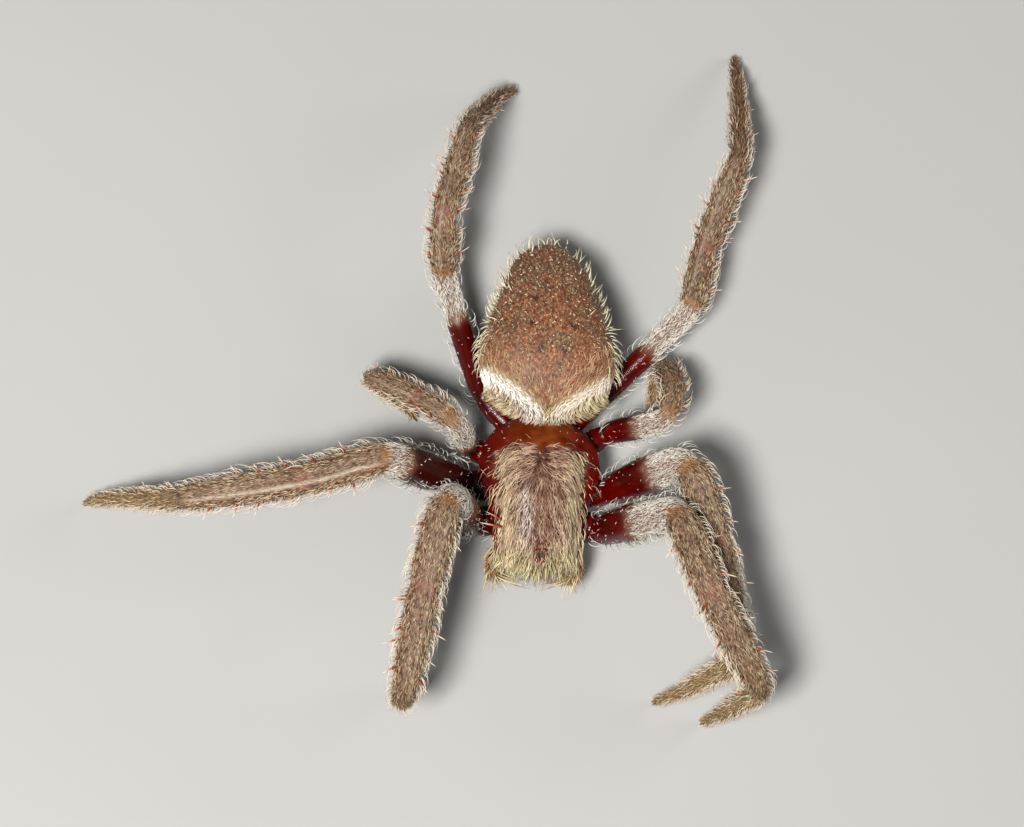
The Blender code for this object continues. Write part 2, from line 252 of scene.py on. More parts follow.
def leg_rings(leg):
    """A leg's centre line, the rays round it, how far they reach, the distance along it, and that of its
    joints."""
    nodes = [f"{leg}_{piece}" for piece in LEG_PIECES]
    corners = {node: corners_of(node) for node in nodes}
    on_cut = {node: np.zeros(len(corners[node]), bool) for node in nodes}
    middles, headings = [], []
    for before, after in zip(nodes, nodes[1:]):
        near = np.linalg.norm(corners[before][:, None] - corners[after][None], axis=2) < CUT_REACH
        on_cut[before] |= near.any(1)
        on_cut[after] |= near.any(0)
        ends = [ring_middle(corners[before][near.any(1)]), ring_middle(corners[after][near.any(0)])]
        middles.append((ends[0] + ends[1]) / 2)
        headings.append(unit(ends[1] - ends[0]))
    coxa, tarsus = corners[nodes[0]], corners[nodes[-1]]
    from_joint = np.linalg.norm(coxa - middles[0], axis=1)
    root = ring_middle(coxa[from_joint > INNER_END * from_joint.max()])
    foot = ring_middle(tarsus[tarsus[:, 2] < CUT_REACH])
    middles = [root] + middles + [foot]
    headings = [unit(middles[1] - root)] + headings + [np.array([0.0, 0.0, -1.0])]
    path, starts = [], []
    t = np.linspace(0, 1, BEND_POINTS, endpoint=False)[:, None]
    for k in range(len(nodes)):
        handle = min(BEND_HANDLE, np.linalg.norm(middles[k + 1] - middles[k]) / 3)
        first, last = middles[k] + handle * headings[k], middles[k + 1] - handle * headings[k + 1]
        starts.append(len(path) * len(t))
        path.append((1 - t) ** 3 * middles[k] + 3 * t * (1 - t) ** 2 * first
                    + 3 * t**2 * (1 - t) * last + t**3 * middles[k + 1])
    path = np.concatenate(path + [foot[None]])
    along = distances(path)
    places = np.linspace(0, along[-1], max(int(along[-1] / RING_STEP), 3))
    path = np.stack([np.interp(places, along, path[:, k]) for k in range(3)], 1)
    tree = wall_tree(nodes, on_cut)
    for _ in range(CENTRING_ROUNDS):
        rays = ring_rays(path)
        reach = cast(tree, path, rays, WIDEST_LEG)
        ends = path[0].copy(), path[-1].copy()
        path = blurred((path[:, None] + reach[..., None] * rays).mean(1), 1.0)
        path[0], path[-1] = ends
    rays = ring_rays(path)
    waves = np.fft.rfft(cast(tree, path, rays, WIDEST_LEG), axis=1)
    waves[:, ROUND_HARMONICS + 1 :] = 0
    reach = blurred(np.fft.irfft(waves, AROUND, axis=1), 0.9)
    reach[0] = reach[1]
    walked = distances(path)
    joints = np.append(along[starts], along[-1]) * walked[-1] / along[-1]
    return path, rays, reach, walked, joints


def linear(hex_colour):
    """An sRGB hex colour as the linear RGBA that shaders take."""
    parts = [int(hex_colour[k : k + 2], 16) / 255 for k in (1, 3, 5)]
    return [part / 12.92 if part <= 0.04045 else ((part + 0.055) / 1.055) ** 2.4 for part in parts] + [1.0]


def add_node(tree, kind, inputs, **settings):
    """Adds a shader node with its settings. An input is a value, a hex colour, a mark of the mesh or an
    output to link."""
    made = tree.nodes.new(kind)
    for setting, value in settings.items():
        setattr(made, setting, value)
    for socket, value in inputs.items():
        if isinstance(value, str) and value[0] != "#":
            value = add_node(tree, "ShaderNodeAttribute", {}, attribute_name=value).outputs["Fac"]
        if isinstance(value, bpy.types.NodeSocket):
            tree.links.new(value, made.inputs[socket])
        else:
            made.inputs[socket].default_value = linear(value) if isinstance(value, str) else value
    return made


def speckle(tree, size_mm, low=0.3, high=0.7, detail=2.0):
    """A noise pattern with blobs of that size, stretched so that low to high covers 0 to 1."""
    place = add_node(tree, "ShaderNodeTexCoord", {}).outputs["Object"]
    grain = {"Vector": place, "Scale": 1 / (size_mm * MM), "Detail": detail}
    grain = add_node(tree, "ShaderNodeTexNoise", grain).outputs["Fac"]
    spread = {"Value": grain, "From Min": low, "From Max": high}
    return add_node(tree, "ShaderNodeMapRange", spread).outputs["Result"]


def painted(tree, ground, *paints):
    """The colour of paints laid on a ground in turn, each given after its share: a mark or a pattern."""
    for share, paint in paints:
        ground = add_node(tree, "ShaderNodeMix", {0: share, 6: ground, 7: paint}, data_type="RGBA").outputs[2]
    return ground


def new_material(name, roughness, ior, specular=0.5):
    """A material, its tree and its Principled shader."""
    material = bpy.data.materials.new(name)
    material.use_nodes = True
    shader = material.node_tree.nodes["Principled BSDF"]
    shader.inputs["Roughness"].default_value = roughness
    shader.inputs["IOR"].default_value = ior
    shader.inputs["Specular IOR Level"].default_value = specular
    return material, material.node_tree, shader


def finish(tree, shader, colour, grains=(), rough=None):
    """Gives a material its colour and its grains, each with a size, a strength, a depth and a detail; and
    to cuticle its roughness where bare and where hairy."""
    tree.links.new(colour, shader.inputs["Base Color"])
    under = {}
    for size_mm, strength, depth_mm, detail in grains:
        height = speckle(tree, size_mm, detail=detail)
        swell = {"Height": height, "Strength": strength, "Distance": depth_mm * MM, **under}
        under = {"Normal": add_node(tree, "ShaderNodeBump", swell).outputs["Normal"]}
        tree.links.new(under["Normal"], shader.inputs["Normal"])
    if rough:
        spread = {"Value": "hairy", "To Min": rough[0], "To Max": rough[1]}
        spread = add_node(tree, "ShaderNodeMapRange", spread).outputs["Result"]
        tree.links.new(spread, shader.inputs["Roughness"])


# Cuticle of the legs: hard chitin, varnish-smooth and dark red where bare, and matt with fine pores and
# folds where the hairs grow. Real pores are finer still, and are drawn as coarse as they need to show.
# Typical chitin IOR is 1.56.
CHITIN_IOR = 1.56
# The groove paint is partly painted highlight; the other paints are the leg's own markings.
LEG_PAINTS = {
    "white": "#765044", "knee": "#84541F", "rosy": "#7E4536", "dark": "#2E1C14", "tarsal": "#705834",
    "rust": "#42220F", "groove": "#D2C4AE",
}
leg_cuticle, tree, shader = new_material("leg cuticle of chitin", 0.3, CHITIN_IOR, 0.25)
# Painted shade: the last paint darkens the bare cuticle of some legs to near black.
bare = painted(tree, "#3A0301", (speckle(tree, 1.6, 0.35, 0.65), "#520200"), ("dusky", "#1C0704"))
hairy = painted(tree, "#3A2617", (speckle(tree, 0.25, 0.38, 0.62), "#74543E"))
colour = painted(tree, bare, ("hairy", hairy), *LEG_PAINTS.items())
finish(tree, shader, colour, [(0.07, 0.35, 0.02, 2.0)], (0.2, 0.62))


def add_object(name, mesh, material, replaced=()):
    """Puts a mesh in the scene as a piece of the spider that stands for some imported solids."""
    mesh.materials.append(material)
    piece = bpy.data.objects.new(name, mesh)
    bpy.context.collection.objects.link(piece)
    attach(piece, "root")
    if replaced:
        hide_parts(*replaced)


def set_marks(mesh, marks):
    """Writes marks, each a value for every point, for the material to read."""
    for name, values in marks.items():
        mesh.attributes.new(name, "FLOAT", "POINT").data.foreach_set("value", np.asarray(values, np.float32))


def add_grid_skin(name, skin, marks, material, replaced=()):
    """A grid skin as a closed mesh, each ring's repeated column dropped."""
    rows, columns = skin.rows, skin.columns
    keep = (np.arange(rows)[:, None] * (columns + 1) + np.arange(columns)[None]).ravel()
    first, k = np.arange(rows - 1)[:, None] * columns, np.arange(columns)[None]
    after = (k + 1) % columns
    quads = np.stack([first + k, first + after, first + columns + after, first + columns + k], 2)
    faces = quads.reshape(-1, 4).tolist()
    faces += [list(range(columns))[::-1], list(range((rows - 1) * columns, rows * columns))]
    mesh = bpy.data.meshes.new(name)
    mesh.from_pydata((skin.points[keep] * MM).tolist(), [], faces)
    mesh.shade_smooth()
    set_marks(mesh, {mark: values[keep] for mark, values in marks.items()})
    add_object(name, mesh, material, replaced)


leg_skins = {}
for leg in LEGS:
    path, rays, reach, along, joints = leg_rings(leg)
    # Past the tarsus's tip only the claws go on to the floor.
    last = np.searchsorted(along, along[-1] - TIP_LEFT_FOR_CLAWS)
    path, rays, reach, along = path[:last], rays[:last], reach[:last], along[:last]
    turn = 2 * np.pi * np.arange(AROUND) / AROUND
    s, around = np.meshgrid(along, np.append(turn, turn[0]), indexing="ij")
    bare_end = joints[1] + BARE_FEMUR[leg] * (joints[2] - joints[1]) + EDGE_SLANT * np.cos(around)
    for height, number, start in EDGE_WAVES:
        bare_end = bare_end + height * np.sin(number * around + start)
    hairy = past(s, bare_end, 0.14)
    coat_depth = COAT_DEPTH + (SLIM_LEG_DEPTH - COAT_DEPTH) * past(s, joints[4] + 0.3, 0.4)
    reach = reach - (BARE_DEPTH + (coat_depth - BARE_DEPTH) * hairy)[:, :-1]
    for joint, pinch in zip(joints[1:6], PINCHES):
        reach = reach * (1 - pinch * bell(along, joint, PINCH_REACH))[:, None]
    rounding = np.clip((along[-1] - along) / TIP_ROUNDED, 0.0, 1.0)
    reach = reach * np.sqrt(1 - (1 - rounding) ** 2 + 0.01)[:, None]
    points = path[:, None] + reach[..., None] * rays
    skin = grid_skin(points, np.gradient(points, axis=0))
    rust = RUST_SHARES.get(leg, 0.0)
    grooves = np.clip(sum(bell(np.cos(around - offset), 1, 0.003) for offset in GROOVES), 0, 1)
    groove_and_highlight_share = GROOVE_AND_HIGHLIGHT_SHARES.get(leg, GROOVE_FAINT)
    marks = {
        "hairy": hairy,
        "knee": bell(s - joints[2], 0.22, 0.28) * np.clip(np.cos(around) * 2.0 - 0.9, 0, 1),
        "rosy": 0.5 * between(s, joints[3] - 0.25, joints[3] + 0.5, 0.1),
        "dark": 0.8 * bell(s, joints[4], 0.22) + past(s, along[-1] - 0.5, 0.2),
        "tarsal": 0.7 * (1 - rust) * past(s, joints[4] + 0.5, 0.5),
        "rust": rust * past(s, joints[4] + 0.9, 0.7),
        # Painted shade on the bare cuticle, as strong as the leg's share.
        "dusky": np.full(s.shape, LEG_SHADE_SHARES.get(leg, 0.0)),
        "white": between(s, bare_end - 0.05, joints[2] - 0.15, 0.14),
        "groove": groove_and_highlight_share * between(s, joints[2] + 0.6, joints[4] - 0.4, 0.3) * grooves,
    }
    marks = {mark: values.ravel() for mark, values in marks.items()}
    vars(skin).update(marks, along=s.ravel(), turn=around.ravel(), joints=joints)
    leg_skins[leg] = skin
    replaced = [f"{leg}_{piece}" for piece in LEG_PIECES]
    add_grid_skin(f"{leg}_skin", skin, marks, leg_cuticle, replaced)

# ---- Carapace skin ---------------------------------------------------------------------------------
# The shield over head and thorax, one hard plate. The thorax is a bare, glossy flange, orange behind the
# head and dark red at the sides; the raised head has a rougher skin under its long hairs.
CARAPACE_VOXEL = 0.1
CARAPACE_SMOOTHING = 36
TUBERCLE_SWELL = 1.14
HEAD_COAT_DEPTH = 0.28
HEAD_REAR = 7.65
HEAD_WIDE = 2.7
THORAX_ORANGE_WIDE = 1.9
WING_WIDE = 0.35
# The skin keeps its full height this near to the eyes.
EYE_GUARDS = {"eye_tubercle": 0.75, "eyes_lateral_L": 0.3, "eyes_lateral_R": 0.3}


def rounded_skin(nodes, voxel, rounds=6):
    """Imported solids, each swollen by its factor, as one smooth skin of triangles, with each point's place
    on the skin unwrapped like an orange from its top."""
    points, faces = [], []
    for node, swell in nodes.items():
        corners = corners_of(node)
        middle = (corners.min(0) + corners.max(0)) / 2
        faces += [[len(points) + k for k in face.vertices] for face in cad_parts[node].data.polygons]
        points += (middle + swell * (corners - middle)).tolist()
    helper = bpy.data.objects.new("helper", bpy.data.meshes.new("helper"))
    helper.data.from_pydata(points, [], faces)
    bpy.context.collection.objects.link(helper)
    helper.modifiers.new("weld", "WELD").merge_threshold = 0.001
    helper.modifiers.new("remesh", "REMESH").voxel_size = voxel
    helper.modifiers.new("smooth", "SMOOTH").iterations = rounds
    mesh = bpy.data.meshes.new_from_object(helper.evaluated_get(bpy.context.evaluated_depsgraph_get()))
    bpy.data.objects.remove(helper)
    mesh.calc_loop_triangles()
    points, normals = np.empty(len(mesh.vertices) * 3), np.empty(len(mesh.vertices) * 3)
    mesh.vertices.foreach_get("co", points)
    mesh.vertex_normals.foreach_get("vector", normals)
    faces = np.empty(len(mesh.loop_triangles) * 3, np.int32)
    mesh.loop_triangles.foreach_get("vertices", faces)
    points = points.reshape(-1, 3)
    direction = unit(points - (points.min(0) + points.max(0)) / 2)
    polar = np.arccos(np.clip(direction[:, 2:], -1, 1)) / np.pi
    place = 0.5 + 0.47 * polar * unit(direction[:, :2])
    return SimpleNamespace(
        points=points, normal=normals.reshape(-1, 3), faces=faces.reshape(-1, 3), place=place, mesh=mesh
    )


def add_rounded_skin(name, skin, depth, marks, material, replaced):
    """A rounded skin drawn in by a depth, as a piece with its marks."""
    skin.points = skin.points - np.reshape(depth, (-1, 1)) * skin.normal
    skin.mesh.name = name
    skin.mesh.vertices.foreach_set("co", (skin.points * MM).ravel())
    skin.mesh.shade_smooth()
    set_marks(skin.mesh, marks)
    add_object(name, skin.mesh, material, replaced)


carapace = rounded_skin({"carapace": 1.0, "eye_tubercle": TUBERCLE_SWELL}, CARAPACE_VOXEL, CARAPACE_SMOOTHING)
x, y, z = (carapace.points - [AXIS, head_low[1], head_low[2]]).T
rear_edge = HEAD_REAR - 0.05 * x**2 - 0.5 * bell(x, 0, 0.22)
hairy = until(y, rear_edge, 0.08) * past(z, 0.45, 0.06)
hairy *= until(np.abs(x), HEAD_WIDE + WING_WIDE * past(y, 5.2, 0.3), 0.12)
hairy *= past(carapace.normal[:, 2], -0.2, 0.05)
guard = np.zeros(len(x))
for node, reach in EYE_GUARDS.items():
    off = np.linalg.norm(carapace.points - sum(box_of(node)) / 2, axis=1)
    guard = np.maximum(guard, bell(off, 0, reach, 4))
head_marks = {
    "hairy": hairy,
    "orange": 0.9 * bell(x, 0, THORAX_ORANGE_WIDE) * past(y, HEAD_REAR - 0.5, 0.3),
}
vars(carapace).update(head_marks, x=x, y=y, z=z)
hard_plate, tree, shader = new_material("carapace plate of chitin", 0.25, CHITIN_IOR, 0.2)
orange = painted(tree, "#5E2409", (speckle(tree, 0.9), "#86441C"))
bare = painted(tree, "#320200", (speckle(tree, 1.4), "#560300"), ("orange", orange))
hairy_paint = painted(tree, "#2E1A12", (speckle(tree, 0.3, 0.38, 0.62), "#5E3C2E"))
swells_and_pits = [(0.7, 0.6, 0.07, 0.0), (0.12, 0.3, 0.02, 2.0)]
finish(tree, shader, painted(tree, bare, ("hairy", hairy_paint)), swells_and_pits, (0.18, 0.6))
add_rounded_skin(
    "carapace_skin", carapace, BARE_DEPTH + (HEAD_COAT_DEPTH - BARE_DEPTH) * hairy * (1 - guard), head_marks,
    hard_plate, ["carapace", "eye_tubercle"],
)

# ---- Abdomen skin ----------------------------------------------------------------------------------
# A soft leathery sack, wrinkled into fine granules, reddish brown above with darker muscle dimples, and a
# pale band along the two front edges that meet in a notch over the thorax.
ABDOMEN_ROWS = 230
ABDOMEN_AROUND = 280
ABDOMEN_LAP = 30
WIDEST_ABDOMEN = 12.0
# The line inside that the rays fan out from: its half length, its height over the middle and its slope.
FAN_SPREAD = 2.85
FAN_RAISED = 0.9
FAN_SLOPE = 0.55
ABDOMEN_COAT_DEPTH = 0.14
GRANULE = 0.26
GRANULE_HEIGHT = 0.14
CREASE_WIDE = 0.2
FOLD = 1.3
FOLD_HEIGHT = 0.07
SHOULDER_SLOPE = 0.69
BAND_WIDTH = 1.0
# Each pair of dimples: how far beside the axis and behind the front.
DIMPLES = ((0.75, 3.9), (1.35, 5.6), (1.1, 7.5))
rear_low, rear_high = box_of("abdomen")


def placed(points):
    """Where points lie on the abdomen: beside its axis, behind its front edges' line, and how high."""
    x, y = points[..., 0] - AXIS, points[..., 1] - rear_low[1]
    height = (points[..., 2] - rear_low[2]) / (rear_high[2] - rear_low[2])
    return x, y - SHOULDER_SLOPE * np.abs(x) - 0.2, height


def abdomen_skin():
    """The abdomen's surface, cast with rays that fan out from a line inside it and roughened with granules,
    and how deep in a crease between granules each point lies."""
    tree = wall_tree(["abdomen"], {})
    middle = (rear_low + rear_high) / 2
    tilt = np.linspace(0.02, np.pi - 0.02, ABDOMEN_ROWS)
    turn = 2 * np.pi * np.arange(ABDOMEN_AROUND) / ABDOMEN_AROUND
    origins = vectors(
        AXIS, middle[1] - FAN_SPREAD * np.cos(tilt), middle[2] + FAN_RAISED + FAN_SLOPE * np.cos(tilt)
    )
    tilt = tilt[:, None]
    rays = vectors(np.sin(tilt) * np.sin(turn), -np.cos(tilt), np.sin(tilt) * np.cos(turn))
    reach = blurred(cast(tree, origins, rays, WIDEST_ABDOMEN), 5.0)
    wide = np.concatenate([reach[:, -ABDOMEN_LAP:], reach, reach[:, :ABDOMEN_LAP]], 1)
    reach = blurred(wide.T, 6.0).T[:, ABDOMEN_LAP:-ABDOMEN_LAP] - ABDOMEN_COAT_DEPTH
    calm = until(placed(origins[:, None] + reach[..., None] * rays)[1], 2.0, 0.5)
    crease = np.zeros(reach.shape)
    for row, column in np.ndindex(reach.shape):
        spot = Vector(origins[row] + reach[row, column] * rays[row, column])
        near = noise.voronoi(spot / GRANULE)[0]
        rough = 1 - 0.6 * calm[row, column]
        crease[row, column] = rough * math.exp(-(((near[1] - near[0]) / CREASE_WIDE) ** 2))
        granule = rough * GRANULE_HEIGHT * (0.35 - near[0])
        reach[row, column] += granule + FOLD_HEIGHT * noise.noise(spot / FOLD)
    return origins[:, None] + reach[..., None] * rays, crease


points, crease = abdomen_skin()
x, behind_edge, height = placed(points)
y = points[..., 1] - rear_low[1]
front_share = until(behind_edge, 2.6, 0.7)[..., None]
toward_notch, rearward = unit(vectors(-x, -(y + 0.8), 0)), unit(vectors(0.35 * x, 1, 0))
abdomen = grid_skin(points, front_share * toward_notch + (1 - front_share) * rearward)
x, behind_edge, height = placed(abdomen.points)
y = abdomen.points[:, 1] - rear_low[1]
band_wide = BAND_WIDTH * (1 - 0.9 * bell(x, 0, 0.9))
dimple = sum(np.exp(-((np.abs(x) - across) ** 2 + (y - back) ** 2) / 0.045) for across, back in DIMPLES)
abdomen_marks = {
    "band": between(behind_edge, -band_wide, 0.0, 0.12) * past(height, 0.45, 0.05),
    "lip": until(behind_edge, -band_wide, 0.15) * past(height, 0.35, 0.05),
    "dark": dimple * (height > 0.5),
    "rosy": between(behind_edge, -0.3, 1.9, 0.4),
    "under": until(height, 0.42, 0.08),
    "crease": np.concatenate([crease, crease[:, :1]], 1).ravel(),
}
vars(abdomen).update(abdomen_marks, x=x, y=y, edge=behind_edge)
ABDOMEN_PAINTS = {"dark": "#2E1F18", "band": "#A8987A", "lip": "#5E4C2E", "under": "#4B3628"}
sack_skin, tree, shader = new_material("abdomen skin of soft chitin", 0.5, 1.45, 0.35)
patchy = painted(tree, "#965E40", (speckle(tree, 1.4, 0.42, 0.6), "#7A5E44"))
redder = painted(tree, "#5E3626", (speckle(tree, 0.2, 0.36, 0.56), "#8E5A40"))
# Painted shade: the creases between granules are darkened as deep as each point lies in a crease.
crease_shade = add_node(tree, "ShaderNodeMath", {0: "crease", 1: 0.7}, operation="MULTIPLY").outputs[0]
colour = painted(
    tree, "#6C402A", (speckle(tree, 0.2, 0.36, 0.56), patchy), ("rosy", redder), *ABDOMEN_PAINTS.items(),
    (crease_shade, "#2B1710"),
)
finish(tree, shader, colour, [(0.06, 0.4, 0.02, 2.0)])
add_grid_skin("abdomen_skin", abdomen, abdomen_marks, sack_skin, ["abdomen"])

# ---- Small skins -----------------------------------------------------------------------------------
# Palps, chelicerae, sternum, pedicel and spinnerets: short limbs and plates of the same chitin, each
# rounded from its solid. Depth under the coat and hairiness are given for each.
VOXEL = 0.07
WIDE_VOXEL = 0.12
SMALL = {
    "palp_L": (0.16, 1.0), "palp_R": (0.16, 1.0), "chelicera_L": (0.1, 0.6), "chelicera_R": (0.1, 0.6),
    "sternum": (0.03, 0.0), "pedicel": (0.02, 0.0), "spinnerets": (0.05, 0.6),
}
# How far the spinnerets' root reaches up into the abdomen, and how far their end is drawn up to a low mound.
SPINNERETS_SUNK = 0.9
MOUND_RAISED = 0.4
small_skins = {}
for node, (depth, hairiness) in SMALL.items():
    skin = rounded_skin({node: 1.0}, WIDE_VOXEL if node == "sternum" else VOXEL)
    small_skins[node] = skin
    if node == "spinnerets":
        height = skin.points[:, 2] - skin.points[:, 2].min()
        skin.points[:, 2] += SPINNERETS_SUNK * past(height, 0.6 * height.max(), 0.1)
        skin.points[:, 2] += MOUND_RAISED * until(height, 0.5 * height.max(), 0.15)
    marks = {"hairy": np.full(len(skin.points), hairiness)}
    add_rounded_skin(f"{node}_skin", skin, depth, marks, leg_cuticle, [node])

# ---- Pleura ----------------------------------------------------------------------------------------
# The soft dark membrane between the carapace's rim and the legs' coxae, which closes the body's sides.
PLEURA_SCALE = 0.82
PLEURA_DROP = 0.9
PLEURA_LAP = 0.55
PLEURA_INSET = 0.6
PLEURA_ROWS = 50
PLEURA_AROUND = 24
pleura_low, pleura_high = head_low[2] - PLEURA_DROP, head_low[2] + PLEURA_LAP
turn = np.linspace(0, 2 * math.pi, PLEURA_AROUND, endpoint=False)
rings = []
for row in np.linspace(PLEURA_INSET, head_high[1] - head_low[1] - PLEURA_INSET, PLEURA_ROWS):
    half = PLEURA_SCALE * np.abs(carapace.x[np.abs(carapace.y - row) < 0.15]).max()
    high = pleura_low + (pleura_high - pleura_low) * (0.5 + 0.5 * np.sin(turn))
    rings.append(vectors(AXIS - half * np.cos(turn), head_low[1] + row, high))
rings = blurred(np.array(rings), 1.5)
pleura = grid_skin(rings, np.zeros_like(rings) + [0.0, 1.0, 0.0])
add_grid_skin("pleura", pleura, {"hairy": np.zeros(len(pleura.points))}, leg_cuticle)

# ---- Eyes ------------------------------------------------------------------------------------------
# Eight polished lenses: four in a square on the tubercle and a pair at each front corner of the head.
MEDIAN_EYE = 0.19
LATERAL_EYE = 0.11
LATERAL_INSET = 0.19
LATERAL_RAISED = 0.3
EYE_SUNK = 0.1
# From the tubercle's middle to its upper and lower pair of eyes, and the hairless room round each.
MEDIAN_AIMS = {"upper_median_eye": ((0.36, -0.02, 1.0), 0.3), "lower_median_eye": ((0.42, -1.0, 0.3), 0.2)}
LATERAL_ROOM = 0.08
EYE_ROWS = 14
EYE_AROUND = 22
lens, tree, shader = new_material("eye lens", 0.06, 1.5)
finish(tree, shader, painted(tree, "#42130B", (speckle(tree, 0.2), "#74301F")))
shader.inputs["Coat Weight"].default_value = 1.0
shader.inputs["Coat Roughness"].default_value = 0.03
polar = np.linspace(np.pi, 0, EYE_ROWS + 1)[1:-1, None]
angle = 2 * np.pi * np.arange(EYE_AROUND) / EYE_AROUND
BALL = vectors(np.sin(polar) * np.cos(angle), np.sin(polar) * np.sin(angle), np.cos(polar))


def add_eye(name, centre, radius, room, replaced=()):
    """One round lens."""
    add_grid_skin(name, grid_skin(centre + radius * BALL, np.ones_like(BALL)), {}, lens, replaced)
    eyes.append((centre, room))


head_tree = BVHTree.FromPolygons(carapace.points.tolist(), carapace.faces.tolist())
bump_middle = sum(box_of("eye_tubercle")) / 2
eyes = []
for side, sign in (("L", 1), ("R", -1)):
    for pair, (heading, room) in MEDIAN_AIMS.items():
        ray = unit(np.array(heading) * [sign, 1, 1])
        spot = head_tree.ray_cast(Vector(bump_middle + 3 * ray), Vector(-ray))[0]
        add_eye(f"{pair}_{side}", np.array(spot) - EYE_SUNK * MEDIAN_EYE * ray, MEDIAN_EYE, room)
    low, high = np.array(box_of(f"eyes_lateral_{side}")) + [[LATERAL_INSET], [-LATERAL_INSET]]
    inner, outer = (low[0], high[0])[::sign]
    mounds = {
        "front": ((inner, low[1], low[2]), [f"eyes_lateral_{side}"]),
        "back": ((outer, high[1], high[2]), []),
    }
    for pair, (spot, replaced) in mounds.items():
        spot, outward = head_tree.find_nearest(Vector(spot))[:2]
        centre = np.array(spot) + LATERAL_RAISED * LATERAL_EYE * np.array(outward)
        add_eye(f"{pair}_lateral_eye_{side}", centre, LATERAL_EYE, LATERAL_ROOM, replaced)

# ---- Coats -----------------------------------------------------------------------------------------
# Every hair is its own closed, tapering strand, drawn a few times thicker than a real one, which is too fine
# to show. Hairs keep the markings of the skin where they root, darken at their foot as painted shade within
# the coat, pale towards their tip and cling together in locks.
PATCH = 0.003
ROOTED = 0.03
# No hair or claw reaches lower than this over the floor.
FLOOR_GAP = 0.01
MOST_TINT = 0.92


def scatter(skin, per_mm2):
    """Roots spread over a skin at a density given at its points: each root's triangle and corner weights."""
    faces = skin.faces
    a, b, c = (skin.points[faces[:, k]] for k in range(3))
    area = np.linalg.norm(np.cross(b - a, c - a), axis=1) / 2
    total = (area * np.broadcast_to(per_mm2, len(skin.points))[faces].mean(1)).cumsum()
    count = int(total[-1])
    face = np.searchsorted(total, (np.arange(count) + rng.random(count)) * total[-1] / count)
    weights = rng.random((count, 2))
    weights = np.where(weights.sum(1, keepdims=True) > 1, 1 - weights, weights)
    return faces[face], np.column_stack([1 - weights.sum(1), weights])


def at_roots(skin, corners, weights):
    """All that is known at a skin's points, at the roots, with the normal and the lie as unit vectors."""
    here = SimpleNamespace()
    for key, values in vars(skin).items():
        if key != "faces" and isinstance(values, np.ndarray) and len(values) == len(skin.points):
            spread = weights if values.ndim == 1 else weights[..., None]
            setattr(here, key, (values[corners] * spread).sum(1))
    here.normal = unit(here.normal)
    if hasattr(here, "lie"):
        here.lie = unit(here.lie)
        here.beside = np.cross(here.normal, here.lie)
    return here


def spray(middle, spread, count):
    """Random factors about a middle, as a column."""
    return rng.normal(middle, spread, count)[:, None]


def strand_faces(segments, sides):
    """A strand's triangles, and each one's corners on its own small patch of the unwrapped skin."""
    faces, flat = [], []
    for row, k in np.ndindex(segments, sides):
        spots = ((k, row), (k + 1, row), (k, row + 1), (k + 1, row + 1))
        for three in ((0, 1, 3), (0, 3, 2)) if row < segments - 1 else ((0, 1, 2),):
            three = [spots[corner] for corner in three]
            faces.append([min(up * sides + right % sides, segments * sides) for right, up in three])
            flat.append([(right / sides, up / segments) for right, up in three])
    for k in range(1, sides - 1):
        faces.append([0, k + 1, k])
        flat.append([(0, 0), ((k + 1) / sides, 0), (k / sides, 0.5)])
    return np.array(faces), PATCH * np.array(flat)


def add_strands(name, root, normal, place, strand, material, segments=3, sides=3, blunt=1.6):
    """Closed tapering strands. Each runs from its root along aim, is carried off by bend towards its tip
    and snakes by sway."""
    count, sway = len(root), strand.get("sway", 0.0)
    normal, aim, bend, sway = (
        np.broadcast_to(part, root.shape)[:, None] for part in (normal, strand["aim"], strand["bend"], sway)
    )
    t = np.linspace(0, 1, segments + 1)[None, :, None]
    snake, turning = np.sin(2 * np.pi * t), 2 * np.pi * np.cos(2 * np.pi * t)
    middle = root[:, None] + strand["length"][:, None, None] * (aim * t + bend * t**2 + sway * snake)
    along = unit(aim + 2 * bend * t + sway * turning)
    across = unit(np.cross(along, normal + 0.25 * unit(bend + 1e-6)))
    above = np.cross(across, along)
    thick = 0.5 * strand["width"][:, None, None] * (1 - t**blunt)
    corner = np.pi / 2 + 2 * np.pi * np.arange(sides) / sides
    ring = middle[:, :-1, None] + thick[:, :-1, None] * (
        np.cos(corner)[:, None] * across[:, :-1, None] + np.sin(corner)[:, None] * above[:, :-1, None]
    )
    points = np.concatenate([ring.reshape(count, -1, 3), middle[:, -1:]], 1)
    points[..., 2] += np.clip(FLOOR_GAP - points[..., 2].min(1), 0, None)[:, None]
    each = points.shape[1]
    faces, flat = strand_faces(segments, sides)
    corners = (faces[None] + each * np.arange(count)[:, None, None]).reshape(-1)
    flat = np.broadcast_to(place, (count, 2))[:, None, None] + flat[None]
    mesh = bpy.data.meshes.new(name)
    mesh.vertices.add(count * each)
    mesh.vertices.foreach_set("co", (points * MM).astype(np.float32).ravel())
    mesh.loops.add(len(corners))
    mesh.loops.foreach_set("vertex_index", corners.astype(np.int32))
    mesh.polygons.add(len(corners) // 3)
    mesh.polygons.foreach_set("loop_start", np.arange(0, len(corners), 3, dtype=np.int32))
    mesh.uv_layers.new(name="OFBake").uv.foreach_set("vector", flat.astype(np.float32).ravel())
    mesh.update(calc_edges=True)
    mesh.shade_smooth()
    set_marks(mesh, {"tip": np.tile(np.append(np.repeat(t.ravel()[:-1], sides), 1.0), count)})
    marks = strand.get("marks", {})
    set_marks(mesh, {mark: np.repeat(np.broadcast_to(marks[mark], count), each) for mark in marks})
    add_object(name, mesh, material)


